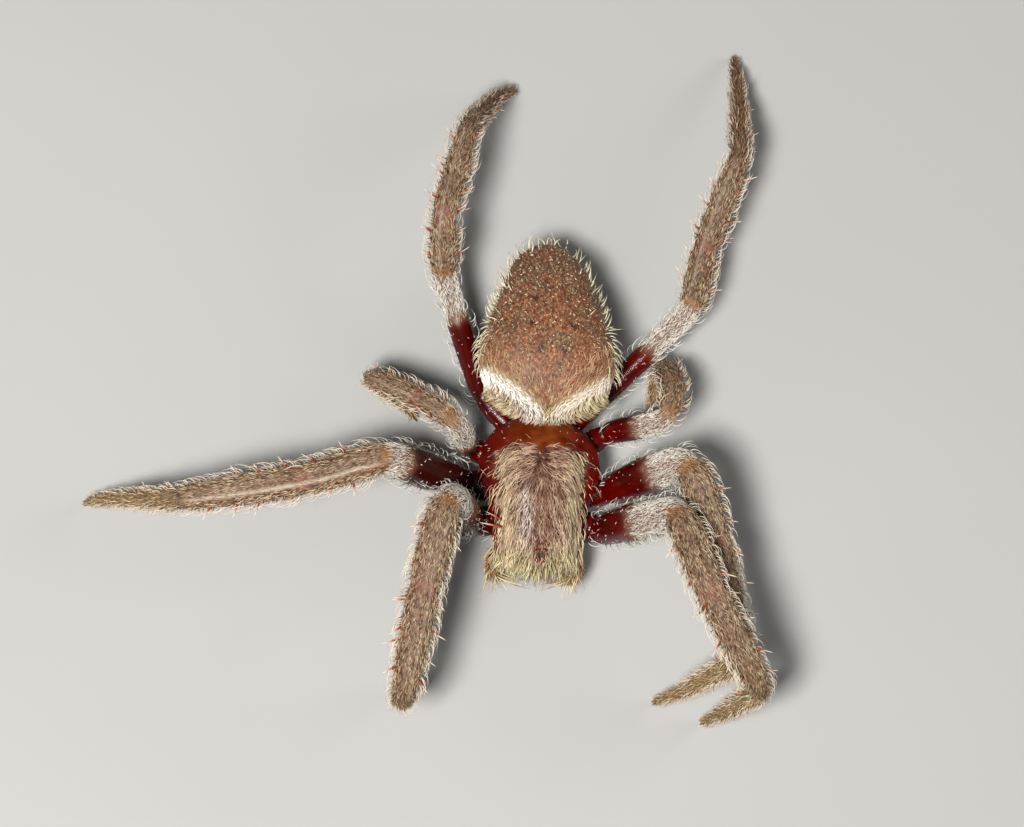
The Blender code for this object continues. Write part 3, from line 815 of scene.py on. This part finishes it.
def gathered(root, strand, per_lock, pull, shared=0.6):
    """Strands drawn together in locks: each bends to the tip of the nearest of some leaders and takes on
    part of its tone."""
    leaders = rng.choice(len(root), max(len(root) // per_lock, 1), replace=False)
    near = KDTree(len(leaders))
    for k, leader in enumerate(leaders):
        near.insert(root[leader], k)
    near.balance()
    lead = leaders[[near.find(spot)[1] for spot in root]]
    length, tone = strand["length"][:, None], strand["marks"]["tone"]
    tip = root + length * (strand["aim"] + strand["bend"])
    strand["bend"] = strand["bend"] + pull * (tip[lead] - tip) / length
    strand["marks"]["tone"] = shared * tone[lead] + (1 - shared) * tone


def grow(name, skin, per_mm2, shape, material, locks=(), segments=3):
    """A coat on a skin. shape gives the strands' form from what is known at their roots. locks says how many
    strands a lock has, how far it draws them together and how much of its tone they share."""
    here = at_roots(skin, *scatter(skin, per_mm2))
    strand = shape(here, len(here.points))
    if locks:
        gathered(here.points, strand, *locks)
    root = here.points - ROOTED * here.normal
    add_strands(name, root, here.normal, here.place, strand, material, segments)


def hair_material(name, foot, dark, pale, tip, tints):
    """Hair of chitin: its tone runs from dark to pale, the marks of the skin tint it, and its foot darkens as
    painted shade.
    """
    material, tree, shader = new_material(name, 0.4, CHITIN_IOR, 0.35)
    paler = {"Value": "tip", "From Min": 0.3, "From Max": 0.9, "To Max": 0.8}
    paler = add_node(tree, "ShaderNodeMapRange", paler).outputs["Result"]
    # Painted shade: near its root each hair darkens to the foot colour, for the shade within the coat.
    foot_shade = {"Value": "tip", "From Max": 0.3, "To Min": 0.85, "To Max": 0.0}
    foot_shade = add_node(tree, "ShaderNodeMapRange", foot_shade).outputs["Result"]
    paler, *tinted = (
        add_node(tree, "ShaderNodeMath", {0: share, 1: most}, operation="MULTIPLY").outputs[0]
        for share, most in [(paler, "tone"), *((mark, MOST_TINT) for mark in tints)]
    )
    tinted = zip(tinted, tints.values())
    finish(tree, shader, painted(tree, dark, ("tone", pale), (paler, tip), *tinted, (foot_shade, foot)))
    return material


# Leg hair: cream and tan in locks, with the brown cuticle showing between.
LEG_HAIRS_PER_MM2 = 44
LEG_TINTS = {
    "knee": "#965A1C", "rosy": "#8E5844", "dark": "#4A3020", "tarsal": "#D2B27A", "rust": "#7C4A28",
    "white": "#DCD8CC",
}
leg_hair = hair_material("leg hair", "#2E1C10", "#62452C", "#CAB08A", "#E6D8BA", LEG_TINTS)


def tints_at(here, share):
    """The markings of the leg under its hairs, but for the white one, each as strong as share."""
    return {mark: getattr(here, mark) * share for mark in LEG_TINTS if mark != "white"}


def leg_hairs(here, count):
    slim = 1 - 0.12 * past(here.along, joints[4], 0.8)
    curly = 0.6 * here.white[:, None]
    raised = 0.2 * past(here.along, joints[4], 0.3)[:, None]
    tone = rng.beta(0.6, 0.8, count)
    return dict(
        aim=unit(here.lie + (spray(0.34, 0.12, count) + curly + raised) * here.normal
                 + spray(0, 0.3, count) * here.beside),
        bend=-(0.14 + curly) * here.normal + spray(0, 0.2, count) * here.beside,
        sway=spray(0, 0.04, count) * here.beside,
        length=rng.uniform(0.36, 0.62, count) * slim * (1 + 0.5 * here.white) * (1 + 0.8 * raised[:, 0]),
        width=rng.uniform(0.05, 0.075, count) * slim,
        marks=dict(tone=tone, white=here.white * (0.6 + 0.4 * tone), **tints_at(here, 0.25 + 0.75 * tone)),
    )


for leg, skin in leg_skins.items():
    joints = skin.joints
    density = LEG_HAIRS_PER_MM2 * skin.hairy * (1 - 0.85 * skin.groove) * (1 + 0.6 * skin.white)
    grow(f"{leg}_coat", skin, density, leg_hairs, leg_hair, (4, 0.35, 0.3))

# Fringe: long hooked pale hairs in loose rows along both sides of patella and tibia, and curled white ones
# under the femur. They spring out from the leg and arch towards its tip.
FRINGE_PER_MM2 = 9


def leg_hooks(here, count):
    slim = 1 - 0.25 * past(here.along, joints[4] - 0.3, 0.4)
    slim *= 1 - 0.25 * past(here.along, joints[5], 0.5)
    white = np.maximum(0.4, until(here.along, joints[2], 0.2)) * (1 - 0.6 * here.rust)
    return dict(
        aim=unit(here.normal + spray(0.2, 0.14, count) * here.lie + spray(0, 0.2, count) * here.beside),
        bend=spray(0.55, 0.12, count) * here.lie - spray(0.7, 0.07, count) * here.normal,
        length=rng.uniform(1.15, 1.7, count) * slim,
        width=rng.uniform(0.065, 0.09, count) * (0.45 + 0.55 * slim),
        marks=dict(tone=rng.uniform(0.75, 1.0, count), white=white, **tints_at(here, 0.3)),
    )


for leg, skin in leg_skins.items():
    joints, s, turn = skin.joints, skin.along, skin.turn
    sideways = bell(np.abs(np.sin(turn)), 1, 0.12 + 0.3 * past(s, joints[4], 0.3)) * (np.cos(turn) > -0.6)
    under = bell(np.cos(turn), -0.7, 0.4)
    thin_out = between(s, joints[2] + 0.3, joints[4] + 0.4, 0.3)
    thin_out = thin_out + 2.2 * between(s, joints[4] + 0.3, joints[6] - 0.6, 0.3)
    femur = between(s, joints[1] + 0.6, joints[2], 0.4)
    tuft = bell(s, joints[1], 0.22) * (np.cos(turn) > -0.3)
    density = FRINGE_PER_MM2 * (sideways * thin_out + (0.55 * under + 0.3 * sideways) * femur + 0.7 * tuft)
    grow(f"{leg}_fringe", skin, density, leg_hooks, leg_hair, segments=5)

# Stubble: sparse short white bristles, like dots, over the bare red cuticle of coxae, femora and thorax.
STUBBLE_PER_MM2 = 1.6


def stubble(here, count):
    across = unit(np.cross(here.normal, rng.normal(0, 1, (count, 3))))
    return dict(
        aim=unit(here.normal + rng.uniform(0.2, 2.5, count)[:, None] * across),
        bend=-0.3 * here.normal + 0.2 * across,
        length=rng.uniform(0.1, 0.34, count),
        width=rng.uniform(0.05, 0.075, count),
        marks=dict(tone=rng.uniform(0.7, 1.0, count), white=1.0),
    )


bare_skins = {leg: (skin, 1 - skin.hairy) for leg, skin in leg_skins.items()}
flange = (1 - carapace.hairy) * (carapace.normal[:, 2] > 0.1) * (1 - carapace.orange)
for name, (skin, share) in {**bare_skins, "thorax": (carapace, flange)}.items():
    grow(f"{name}_stubble", skin, STUBBLE_PER_MM2 * share, stubble, leg_hair, (), 2)

# Spines: stiff hollow bristles on sockets, red at the base and horn-white at the tip. They stand at shares
# of three pieces of each leg, in turns from its topmost line; every second place has only the upper two.
SPINES = {"patella": (0.35, 0.75), "tibia": (0.12, 0.34, 0.56, 0.8), "metatarsus": (0.15, 0.38, 0.62)}
SPINE_TURNS = (1.3, -1.3, 2.3, -2.3)
SPINE_LENGTH = 1.2
SPINE_WIDTH = 0.17
SMALL_SPINE = 0.75
spine_chitin, tree, shader = new_material("spine of chitin", 0.3, CHITIN_IOR)
shade = {"Value": "tip", "From Min": 0.35, "From Max": 0.85}
shade = add_node(tree, "ShaderNodeMapRange", shade).outputs["Result"]
finish(tree, shader, painted(tree, "#8A3A22", (shade, "#EAD8BC")))
for leg, skin in leg_skins.items():
    joints, columns = skin.joints, skin.columns + 1
    picked, sizes = [], []
    for piece, shares in SPINES.items():
        k = LEG_PIECES.index(piece)
        for number, share in enumerate(shares):
            for around in SPINE_TURNS[: 2 if number % 2 else 4]:
                spot = joints[k] + (share + rng.uniform(-0.08, 0.08)) * (joints[k + 1] - joints[k])
                row = np.searchsorted(skin.along[::columns], spot)
                column = int(((around + rng.normal(0, 0.12)) % (2 * np.pi)) / (2 * np.pi) * (columns - 1))
                picked.append(row * columns + column)
                sizes.append(SMALL_SPINE ** (("_3_" in leg) + (piece == "metatarsus")))
    normal, lie, count, sizes = skin.normal[picked], skin.lie[picked], len(picked), np.array(sizes)
    spine = dict(
        aim=unit(normal + rng.uniform(0.1, 0.8, count)[:, None] * lie), bend=0.08 * lie,
        length=sizes * SPINE_LENGTH * rng.uniform(0.7, 1.15, count),
        width=sizes * SPINE_WIDTH * rng.uniform(0.8, 1.1, count),
    )
    root = skin.points[picked] - 0.1 * normal
    add_strands(
        f"{leg}_spines", root, normal, skin.place[picked], spine, spine_chitin, 4, 6, 1.3
    )

# Claws: two combed hooks and a small middle one end each tarsus, and carry the spider on the floor.
CLAW_TIP_HEIGHT = 0.02
CLAW_SUNK = 0.15
CLAW_HOOK = 0.35
# For the three claws: how far each stands beside the tarsus's middle and above it, its lean and its width.
CLAW_SPREAD = np.array([[-0.09], [0.09], [0.0]])
CLAW_RAISED = np.array([[0.04], [0.04], [-0.06]])
CLAW_LEAN = np.array([[0.75], [0.75], [0.1]])
CLAW_WIDTH = np.array([0.12, 0.12, 0.08])
claw_horn, tree, shader = new_material("claw of dark chitin", 0.25, CHITIN_IOR)
finish(tree, shader, painted(tree, "#22140C", (speckle(tree, 0.1), "#40281A")))
down = np.array([0.0, 0.0, -1.0])
for leg, skin in leg_skins.items():
    columns = skin.columns + 1
    middle = skin.points[-columns:-1].mean(0)
    above = unit(skin.points[-3 * columns] - skin.points[-3 * columns : -2 * columns - 1].mean(0))
    beside = np.cross(down, above)
    root = middle + CLAW_SPREAD * beside + CLAW_RAISED * above - CLAW_SUNK * down
    aim = unit(down + 1.2 * CLAW_SPREAD * beside + CLAW_LEAN * above)
    bend = CLAW_HOOK * unit(down - 1.3 * above)
    length = (CLAW_TIP_HEIGHT - root[:, 2]) / (aim[:, 2] + bend[2])
    claw = dict(aim=aim, bend=bend, length=length, width=CLAW_WIDTH)
    add_strands(f"{leg}_claws", root, beside, 0.5, claw, claw_horn, 5, 6, 1.4)

# Spinneret cones: four stout and two slender cones that the spinnerets' low mound ends in.
CONE_LENGTH = (0.68, 0.55)
CONE_WIDTH = (0.42, 0.24)
CONE_CIRCLE = (1.0, 0.45)
mound = small_skins["spinnerets"].points
turn = np.pi / 4 + np.pi / 2 * np.arange(6)
outward = vectors(np.cos(turn), np.sin(turn), 0.0) * np.repeat(CONE_CIRCLE, [4, 2])[:, None]
bottom = np.array([*mound[:, :2].mean(0), mound[:, 2].min() + 0.3])
cones = dict(
    aim=unit(0.3 * outward - [0.0, 0.0, 1.0]), bend=-0.15 * outward, length=np.repeat(CONE_LENGTH, [4, 2]),
    width=np.repeat(CONE_WIDTH, [4, 2]), marks=dict(hairy=0.7),
)
root = bottom + 0.24 * outward
add_strands("spinneret_cones", root, [0.0, 1.0, 0.0], 0.5, cones, leg_cuticle, 6, 12, 3.0)

# Head coat: long curved hairs that start at the notch behind the head. They fan out sideways there and sweep
# forward, pinkish brown in the middle and cream where they hang over the sides.
HEAD_HAIRS_PER_MM2 = 46
HEAD_SOURCE = 0.55
# The last tint is a painted sheen: a reflection laid on the hairs as pale colour.
head_hair = hair_material("head hair", "#2A160E", "#6C4433", "#CCA68A", "#E4CDB2", {
    "cream": "#DDD0A0", "orange": "#8E5230", "frost": "#F0E8E0",
})


def head_hairs(here, count):
    x, ahead = here.x, here.y - HEAD_REAR + HEAD_SOURCE
    near_rear = bell(ahead, HEAD_SOURCE, 2.1)
    flow = unit(vectors((1.0 + 2.4 * near_rear) * x, ahead - 0.5 + 0.35 * near_rear, 0.0))
    flow = unit(flow - (flow * here.normal).sum(1, keepdims=True) * here.normal)
    beside = np.cross(here.normal, flow)
    outer = np.clip((np.abs(x) - 0.7) / 1.5, 0, 1)
    front, low = until(here.y, 0.9, 0.2), until(here.z, 2.2, 0.3)
    curl = (0.4 + 0.4 * near_rear) * outer
    tone = rng.beta(0.62, 0.9 - 0.25 * outer, count)
    cream = np.clip((1 - 0.45 * (x < 0)) * outer + 0.8 * front, 0, 1)
    ridge = bell(np.abs(x), 0.28, 0.1) * between(here.y, 1.2, 4.2, 0.4)
    # Painted sheen: a pale streak over the hairs beside the middle, on the spider's right, standing in for a
    # reflection.
    frost = bell(x, -1.0, 0.4) * between(here.y, 1.7, 4.6, 0.4)
    longer = 0.85 + (0.2 + 0.55 * near_rear) * outer
    return dict(
        aim=unit(flow + (0.28 + 0.14 * outer)[:, None] * here.normal + spray(0, 0.18, count) * beside),
        bend=vectors(-0.12 * np.sign(x) * outer, -0.1 - curl, -0.1 - 0.28 * outer - 0.3 * front * low),
        sway=spray(0, 0.085, count) * beside + spray(0, 0.04, count) * here.normal,
        length=rng.uniform(0.65, 1.1, count) * longer * (1 - 0.3 * ridge),
        width=rng.uniform(0.06, 0.095, count),
        marks=dict(tone=tone, cream=tone * cream, orange=0.8 * ridge, frost=frost * (0.4 + 0.6 * tone)),
    )


eye_room = np.ones(len(carapace.x))
for centre, room in eyes:
    eye_room *= 1 - bell(np.linalg.norm(carapace.points - centre, axis=1), 0, room, 4)
notch = 1 - 0.9 * bell(carapace.x, 0, 0.25) * past(carapace.y, HEAD_REAR - 1.4, 0.2)
density = HEAD_HAIRS_PER_MM2 * carapace.hairy * eye_room * notch
density *= 0.62 + 0.38 * bell(carapace.x, 0, 1.8, 4) + 0.25 * past(carapace.y, 4.6, 0.4)
grow("head_coat", carapace, density, head_hairs, head_hair, (5, 0.45), segments=6)

# Abdomen coat: fine short curled hairs that run to the front notch, a dense white band, and long pale hairs
# that hang over the front edge and along the sides.
sack_hair = hair_material("abdomen hair", "#341C12", "#74472F", "#BE8E6A", "#D2AC88", {
    "cream": "#DDD6A6", "white": "#FBFAF2", "orange": "#98643E",
})


def short_curls(here, count):
    stray = spray(0, 0.5, count)
    stray *= 1 - 0.6 * here.rosy[:, None]
    return dict(
        aim=unit(here.lie + spray(0.4, 0.14, count) * here.normal + stray * here.beside),
        bend=-0.3 * here.normal - 0.9 * stray * here.beside,
        sway=spray(0, 0.1, count) * here.beside,
        length=rng.uniform(0.26, 0.42, count) + 0.25 * here.rosy,
        width=rng.uniform(0.045, 0.07, count),
        marks=dict(
            tone=rng.beta(0.6, 0.8, count),
            cream=0.6 * rng.random(count) ** 2,
            orange=0.15 * rng.random(count),
        ),
    )


def flecks(here, count):
    across = unit(np.cross(here.normal, rng.normal(0, 1, (count, 3))))
    return dict(
        aim=unit(0.7 * here.normal + across),
        bend=-0.7 * here.normal + 0.5 * np.cross(across, here.normal),
        length=rng.uniform(0.16, 0.3, count),
        width=rng.uniform(0.07, 0.1, count),
        marks=dict(tone=1.0, cream=rng.uniform(0.3, 1.0, count), white=0.3 * rng.random(count)),
    )


def front_waves(here, count):
    return dict(
        aim=unit(here.lie + spray(0.2, 0.06, count) * here.normal + spray(0, 0.12, count) * here.beside),
        bend=-0.14 * here.normal + spray(0, 0.08, count) * here.beside,
        sway=spray(0, 0.08, count) * here.beside,
        length=rng.uniform(0.6, 0.95, count),
        width=rng.uniform(0.065, 0.095, count),
        marks=dict(
            tone=rng.beta(0.4, 0.55, count),
            cream=0.4 * rng.random(count) ** 2,
            orange=0.1 * rng.random(count),
        ),
    )


def band_hairs(here, count):
    lip = here.lip
    white = here.band * bell(here.edge, -0.5, 0.5, 4) * (0.45 + 0.55 * (here.x < 0))
    tone = rng.beta(0.9, 0.7, count) ** (1 - 0.4 * (here.x > 0))
    outward = lip * np.clip(here.x / 0.8 + rng.normal(0, 0.3, count), -1.0, 1.0)
    overhang = vectors(0.9 * outward, -0.9 * lip, 0.0)
    return dict(
        aim=unit(here.lie * (1 - lip[:, None]) + spray(0.36, 0.12, count) * here.normal
                 + spray(0, 0.25, count) * here.beside + overhang),
        bend=-0.2 * here.normal + vectors(0.6 * outward, 0.2 * lip, -0.3 * lip),
        sway=spray(0, 0.07, count) * here.beside,
        length=rng.uniform(0.4, 0.6, count) + (0.4 + 0.85 * bell(here.x, 0, 2.2, 4)) * lip,
        width=rng.uniform(0.065, 0.09, count) + 0.02 * lip,
        marks=dict(tone=np.maximum(tone, white), cream=tone * (1 - white), white=white, orange=0.1 * lip),
    )


def side_hooks(here, count):
    return dict(
        aim=unit(here.normal + spray(0.35, 0.3, count) * here.lie + rng.normal(0, 0.15, (count, 3))),
        bend=0.55 * here.lie - 0.35 * here.normal + [0.0, 0.0, 0.1],
        length=rng.uniform(0.7, 1.25, count),
        width=rng.uniform(0.08, 0.12, count),
        marks=dict(tone=rng.uniform(0.6, 1.0, count), cream=rng.uniform(0.5, 1.0, count), white=0.2),
    )


above, pale = 1 - abdomen.under, np.clip(abdomen.band + abdomen.lip, 0, 1)
curled = 24 * (1 - 0.5 * abdomen.rosy) * above * (1 - pale) + 5 * abdomen.under
rim = bell(abdomen.normal[:, 2], 0.1, 0.25) * (abdomen.y > 1.5) * (1 - pale)
# For each coat: hairs to the square millimetre, their shape, their locks and how many segments bend them.
ABDOMEN_COATS = {
    "curls": (curled, short_curls, (4, 0.4), 4),
    "flecks": (5.5 * above * (1 - pale) * (1 - 0.6 * abdomen.rosy), flecks, (), 3),
    "waves": (26 * abdomen.rosy * above * (1 - pale), front_waves, (5, 0.3), 5),
    "band": ((50 + 30 * abdomen.band) * pale, band_hairs, (5, 0.5), 4),
    "fringe": (8 * rim, side_hooks, (), 4),
}
for coat, (density, shape, locks, segments) in ABDOMEN_COATS.items():
    grow(f"abdomen_{coat}", abdomen, density, shape, sack_hair, locks, segments)

# Face coat: palps and the front of the chelicerae under dense pale yellow hair.
FACE_HAIRS_PER_MM2 = 60
FACE_DOWN = np.array([0.0, -0.75, -0.65])
face_hair = hair_material("face hair", "#3C2612", "#7C5E36", "#D6C690", "#EFE6C2", {
    "cream": "#E6DDB4", "orange": "#A0642A",
})


def face_hairs(here, count):
    flow = unit(FACE_DOWN - (here.normal @ FACE_DOWN)[:, None] * here.normal)
    return dict(
        aim=unit(flow + spray(0.5, 0.18, count) * here.normal + rng.normal(0, 0.2, (count, 3))),
        bend=rng.normal(0, 0.1, (count, 3)) + [0.0, -0.05, -0.3],
        length=rng.uniform(0.35, 0.7, count),
        width=rng.uniform(0.05, 0.07, count),
        marks=dict(
            tone=rng.beta(0.8, 1.0, count), cream=(1 - 0.7 * on_palp) * rng.uniform(0.1, 0.8, count),
            orange=on_palp * rng.random(count),
        ),
    )


for node in ("palp_L", "palp_R", "chelicera_L", "chelicera_R"):
    skin = small_skins[node]
    on_palp = 1.0 if "palp" in node else 0.15
    height = (skin.points[:, 2] - skin.points[:, 2].min()) / np.ptp(skin.points[:, 2])
    front = past(-skin.normal[:, 1], 0.0, 0.2) * past(height, 0.35, 0.08)
    density = FACE_HAIRS_PER_MM2 * (np.ones(len(front)) if "palp" in node else front)
    grow(f"{node}_coat", skin, density, face_hairs, face_hair, (4, 0.4))

# Moustache: a dense fringe of long pale hairs that hangs from the carapace's front edge over the chelicerae.
MOUSTACHE_PER_MM2 = 48


def moustache(here, count):
    tone = rng.beta(0.9, 0.8, count)
    return dict(
        aim=unit(vectors(0.12 * here.x, -0.9, -0.3) + rng.normal(0, 0.28, (count, 3)) + 0.25 * here.normal),
        bend=rng.normal(0, 0.08, (count, 3)) + [0.0, -0.05, -0.35],
        sway=rng.normal(0, 0.04, (count, 3)),
        length=rng.uniform(0.8, 1.3, count) * (1 + 0.4 * bell(here.x, 0, 1.5, 4)),
        width=rng.uniform(0.08, 0.11, count),
        marks=dict(tone=tone, cream=0.7 * tone, orange=0.3 * rng.random(count) ** 2),
    )


brow = past(-carapace.normal[:, 1], 0.35, 0.08) * between(carapace.z, 0.3, 2.4, 0.2)
brow *= (carapace.y < 1.2) * eye_room
grow("moustache", carapace, MOUSTACHE_PER_MM2 * brow, moustache, face_hair, (4, 0.4), segments=4)

# Bristles: long straight stiff hairs that splay in a fan from each palp's end. Beard: a few long hairs that
# cross from each palp towards the other below the moustache.
BRISTLES_PER_MM2 = 9
BRISTLE_FAN = 0.6
BEARD_PER_MM2 = 12


def palp_bristles(here, count):
    fan = rng.permutation(np.linspace(-BRISTLE_FAN, BRISTLE_FAN, count))
    return dict(
        aim=unit(0.3 * here.normal + vectors(fan, -1.0, -0.2)),
        bend=rng.normal(0, 0.06, (count, 3)),
        length=rng.uniform(1.1, 1.7, count),
        width=rng.uniform(0.09, 0.12, count),
        marks=dict(
            tone=rng.uniform(0.4, 1.0, count), cream=rng.random(count), orange=0.6 * rng.random(count)
        ),
    )


def beard(here, count):
    side = np.sign(here.points[:, 0] - AXIS)
    return dict(
        aim=unit(vectors(-side, -0.8, 0.0) + rng.normal(0, 0.14, (count, 3))),
        bend=vectors(-0.3 * side, 0.3, -0.1),
        length=rng.uniform(1.5, 2.1, count),
        width=rng.uniform(0.09, 0.11, count),
        marks=dict(tone=rng.uniform(0.5, 1.0, count), cream=rng.random(count), orange=rng.random(count)),
    )


palps = {node: small_skins[node] for node in ("palp_L", "palp_R")}
for node, skin in palps.items():
    density = BRISTLES_PER_MM2 * (skin.normal[:, 1] < -0.5)
    grow(f"{node}_bristles", skin, density, palp_bristles, face_hair)
for node, skin in palps.items():
    inward = (AXIS - skin.points[:, 0]) * skin.normal[:, 0] > 0.5
    density = BEARD_PER_MM2 * inward * (skin.normal[:, 1] < -0.1)
    grow(f"{node}_beard", skin, density, beard, face_hair, segments=6)

# Flank bristles: stout spines that stick out from the right side of the head over the first leg. Each has
# its place beside the axis and behind the front, its length and width, and where it aims.
FLANK_BRISTLES = np.array([
    [-2.5, 2.2, 1.9, 0.19, -1.0, 0.1, 0.35], [-2.55, 2.6, 1.5, 0.12, -0.9, 0.35, 0.4],
    [-2.75, 1.9, 1.4, 0.1, -0.8, -0.5, 0.3], [-3.4, 5.6, 0.8, 0.09, -0.6, 0.5, 0.5],
])
picked = [
    np.argmin(np.hypot(carapace.x - across, carapace.y - back) + (carapace.normal[:, 2] < 0.2))
    for across, back in FLANK_BRISTLES[:, :2]
]
flank = dict(
    aim=unit(FLANK_BRISTLES[:, 4:]), bend=[0.0, 0.0, -0.12],
    length=FLANK_BRISTLES[:, 2], width=FLANK_BRISTLES[:, 3],
)
add_strands(
    "head_flank_bristles", carapace.points[picked], carapace.normal[picked], carapace.place[picked], flank,
    spine_chitin, 4, 6, 1.3,
)

# ---- Studio ----------------------------------------------------------------------------------------
# A plain pale floor, a large soft lamp beside the camera, a weaker one across from it and an even sky.
FLOOR_REACH = 2
SKY_STRENGTH = 0.2
floor_paint, tree, shader = new_material("pale matt floor", 0.9, 1.45)
finish(tree, shader, painted(tree, "#A09E9A", (speckle(tree, 40.0), "#A3A19D")))
mesh = bpy.data.meshes.new("floor")
around = ((-1, -1), (1, -1), (1, 1), (-1, 1))
mesh.from_pydata([(FLOOR_REACH * x, FLOOR_REACH * y, 0) for x, y in around], [], [(0, 1, 2, 3)])
mesh.materials.append(floor_paint)
floor = bpy.data.objects.new("floor", mesh)
bpy.context.collection.objects.link(floor)


def add_lamp(name, place, size, power):
    """A square area lamp at a place in millimetres, facing the spider."""
    lamp = bpy.data.objects.new(name, bpy.data.lights.new(name, "AREA"))
    lamp.data.size = size * MM
    lamp.data.energy = power
    lamp.location = Vector(place) * MM
    lamp.rotation_euler = (-Vector(place)).to_track_quat("-Z", "Y").to_euler()
    bpy.context.collection.objects.link(lamp)
    return lamp


add_lamp("key lamp", (-70, -90, 260), 50, 1.35)
add_lamp("fill lamp", (220, 60, 160), 160, 0.22).visible_glossy = False
world = bpy.data.worlds.new("studio")
bpy.context.scene.world = world
world.use_nodes = True
world.node_tree.nodes["Background"].inputs["Color"].default_value = linear("#C8CCD2")
world.node_tree.nodes["Background"].inputs["Strength"].default_value = SKY_STRENGTH
bpy.context.scene.view_settings.view_transform = "Standard"
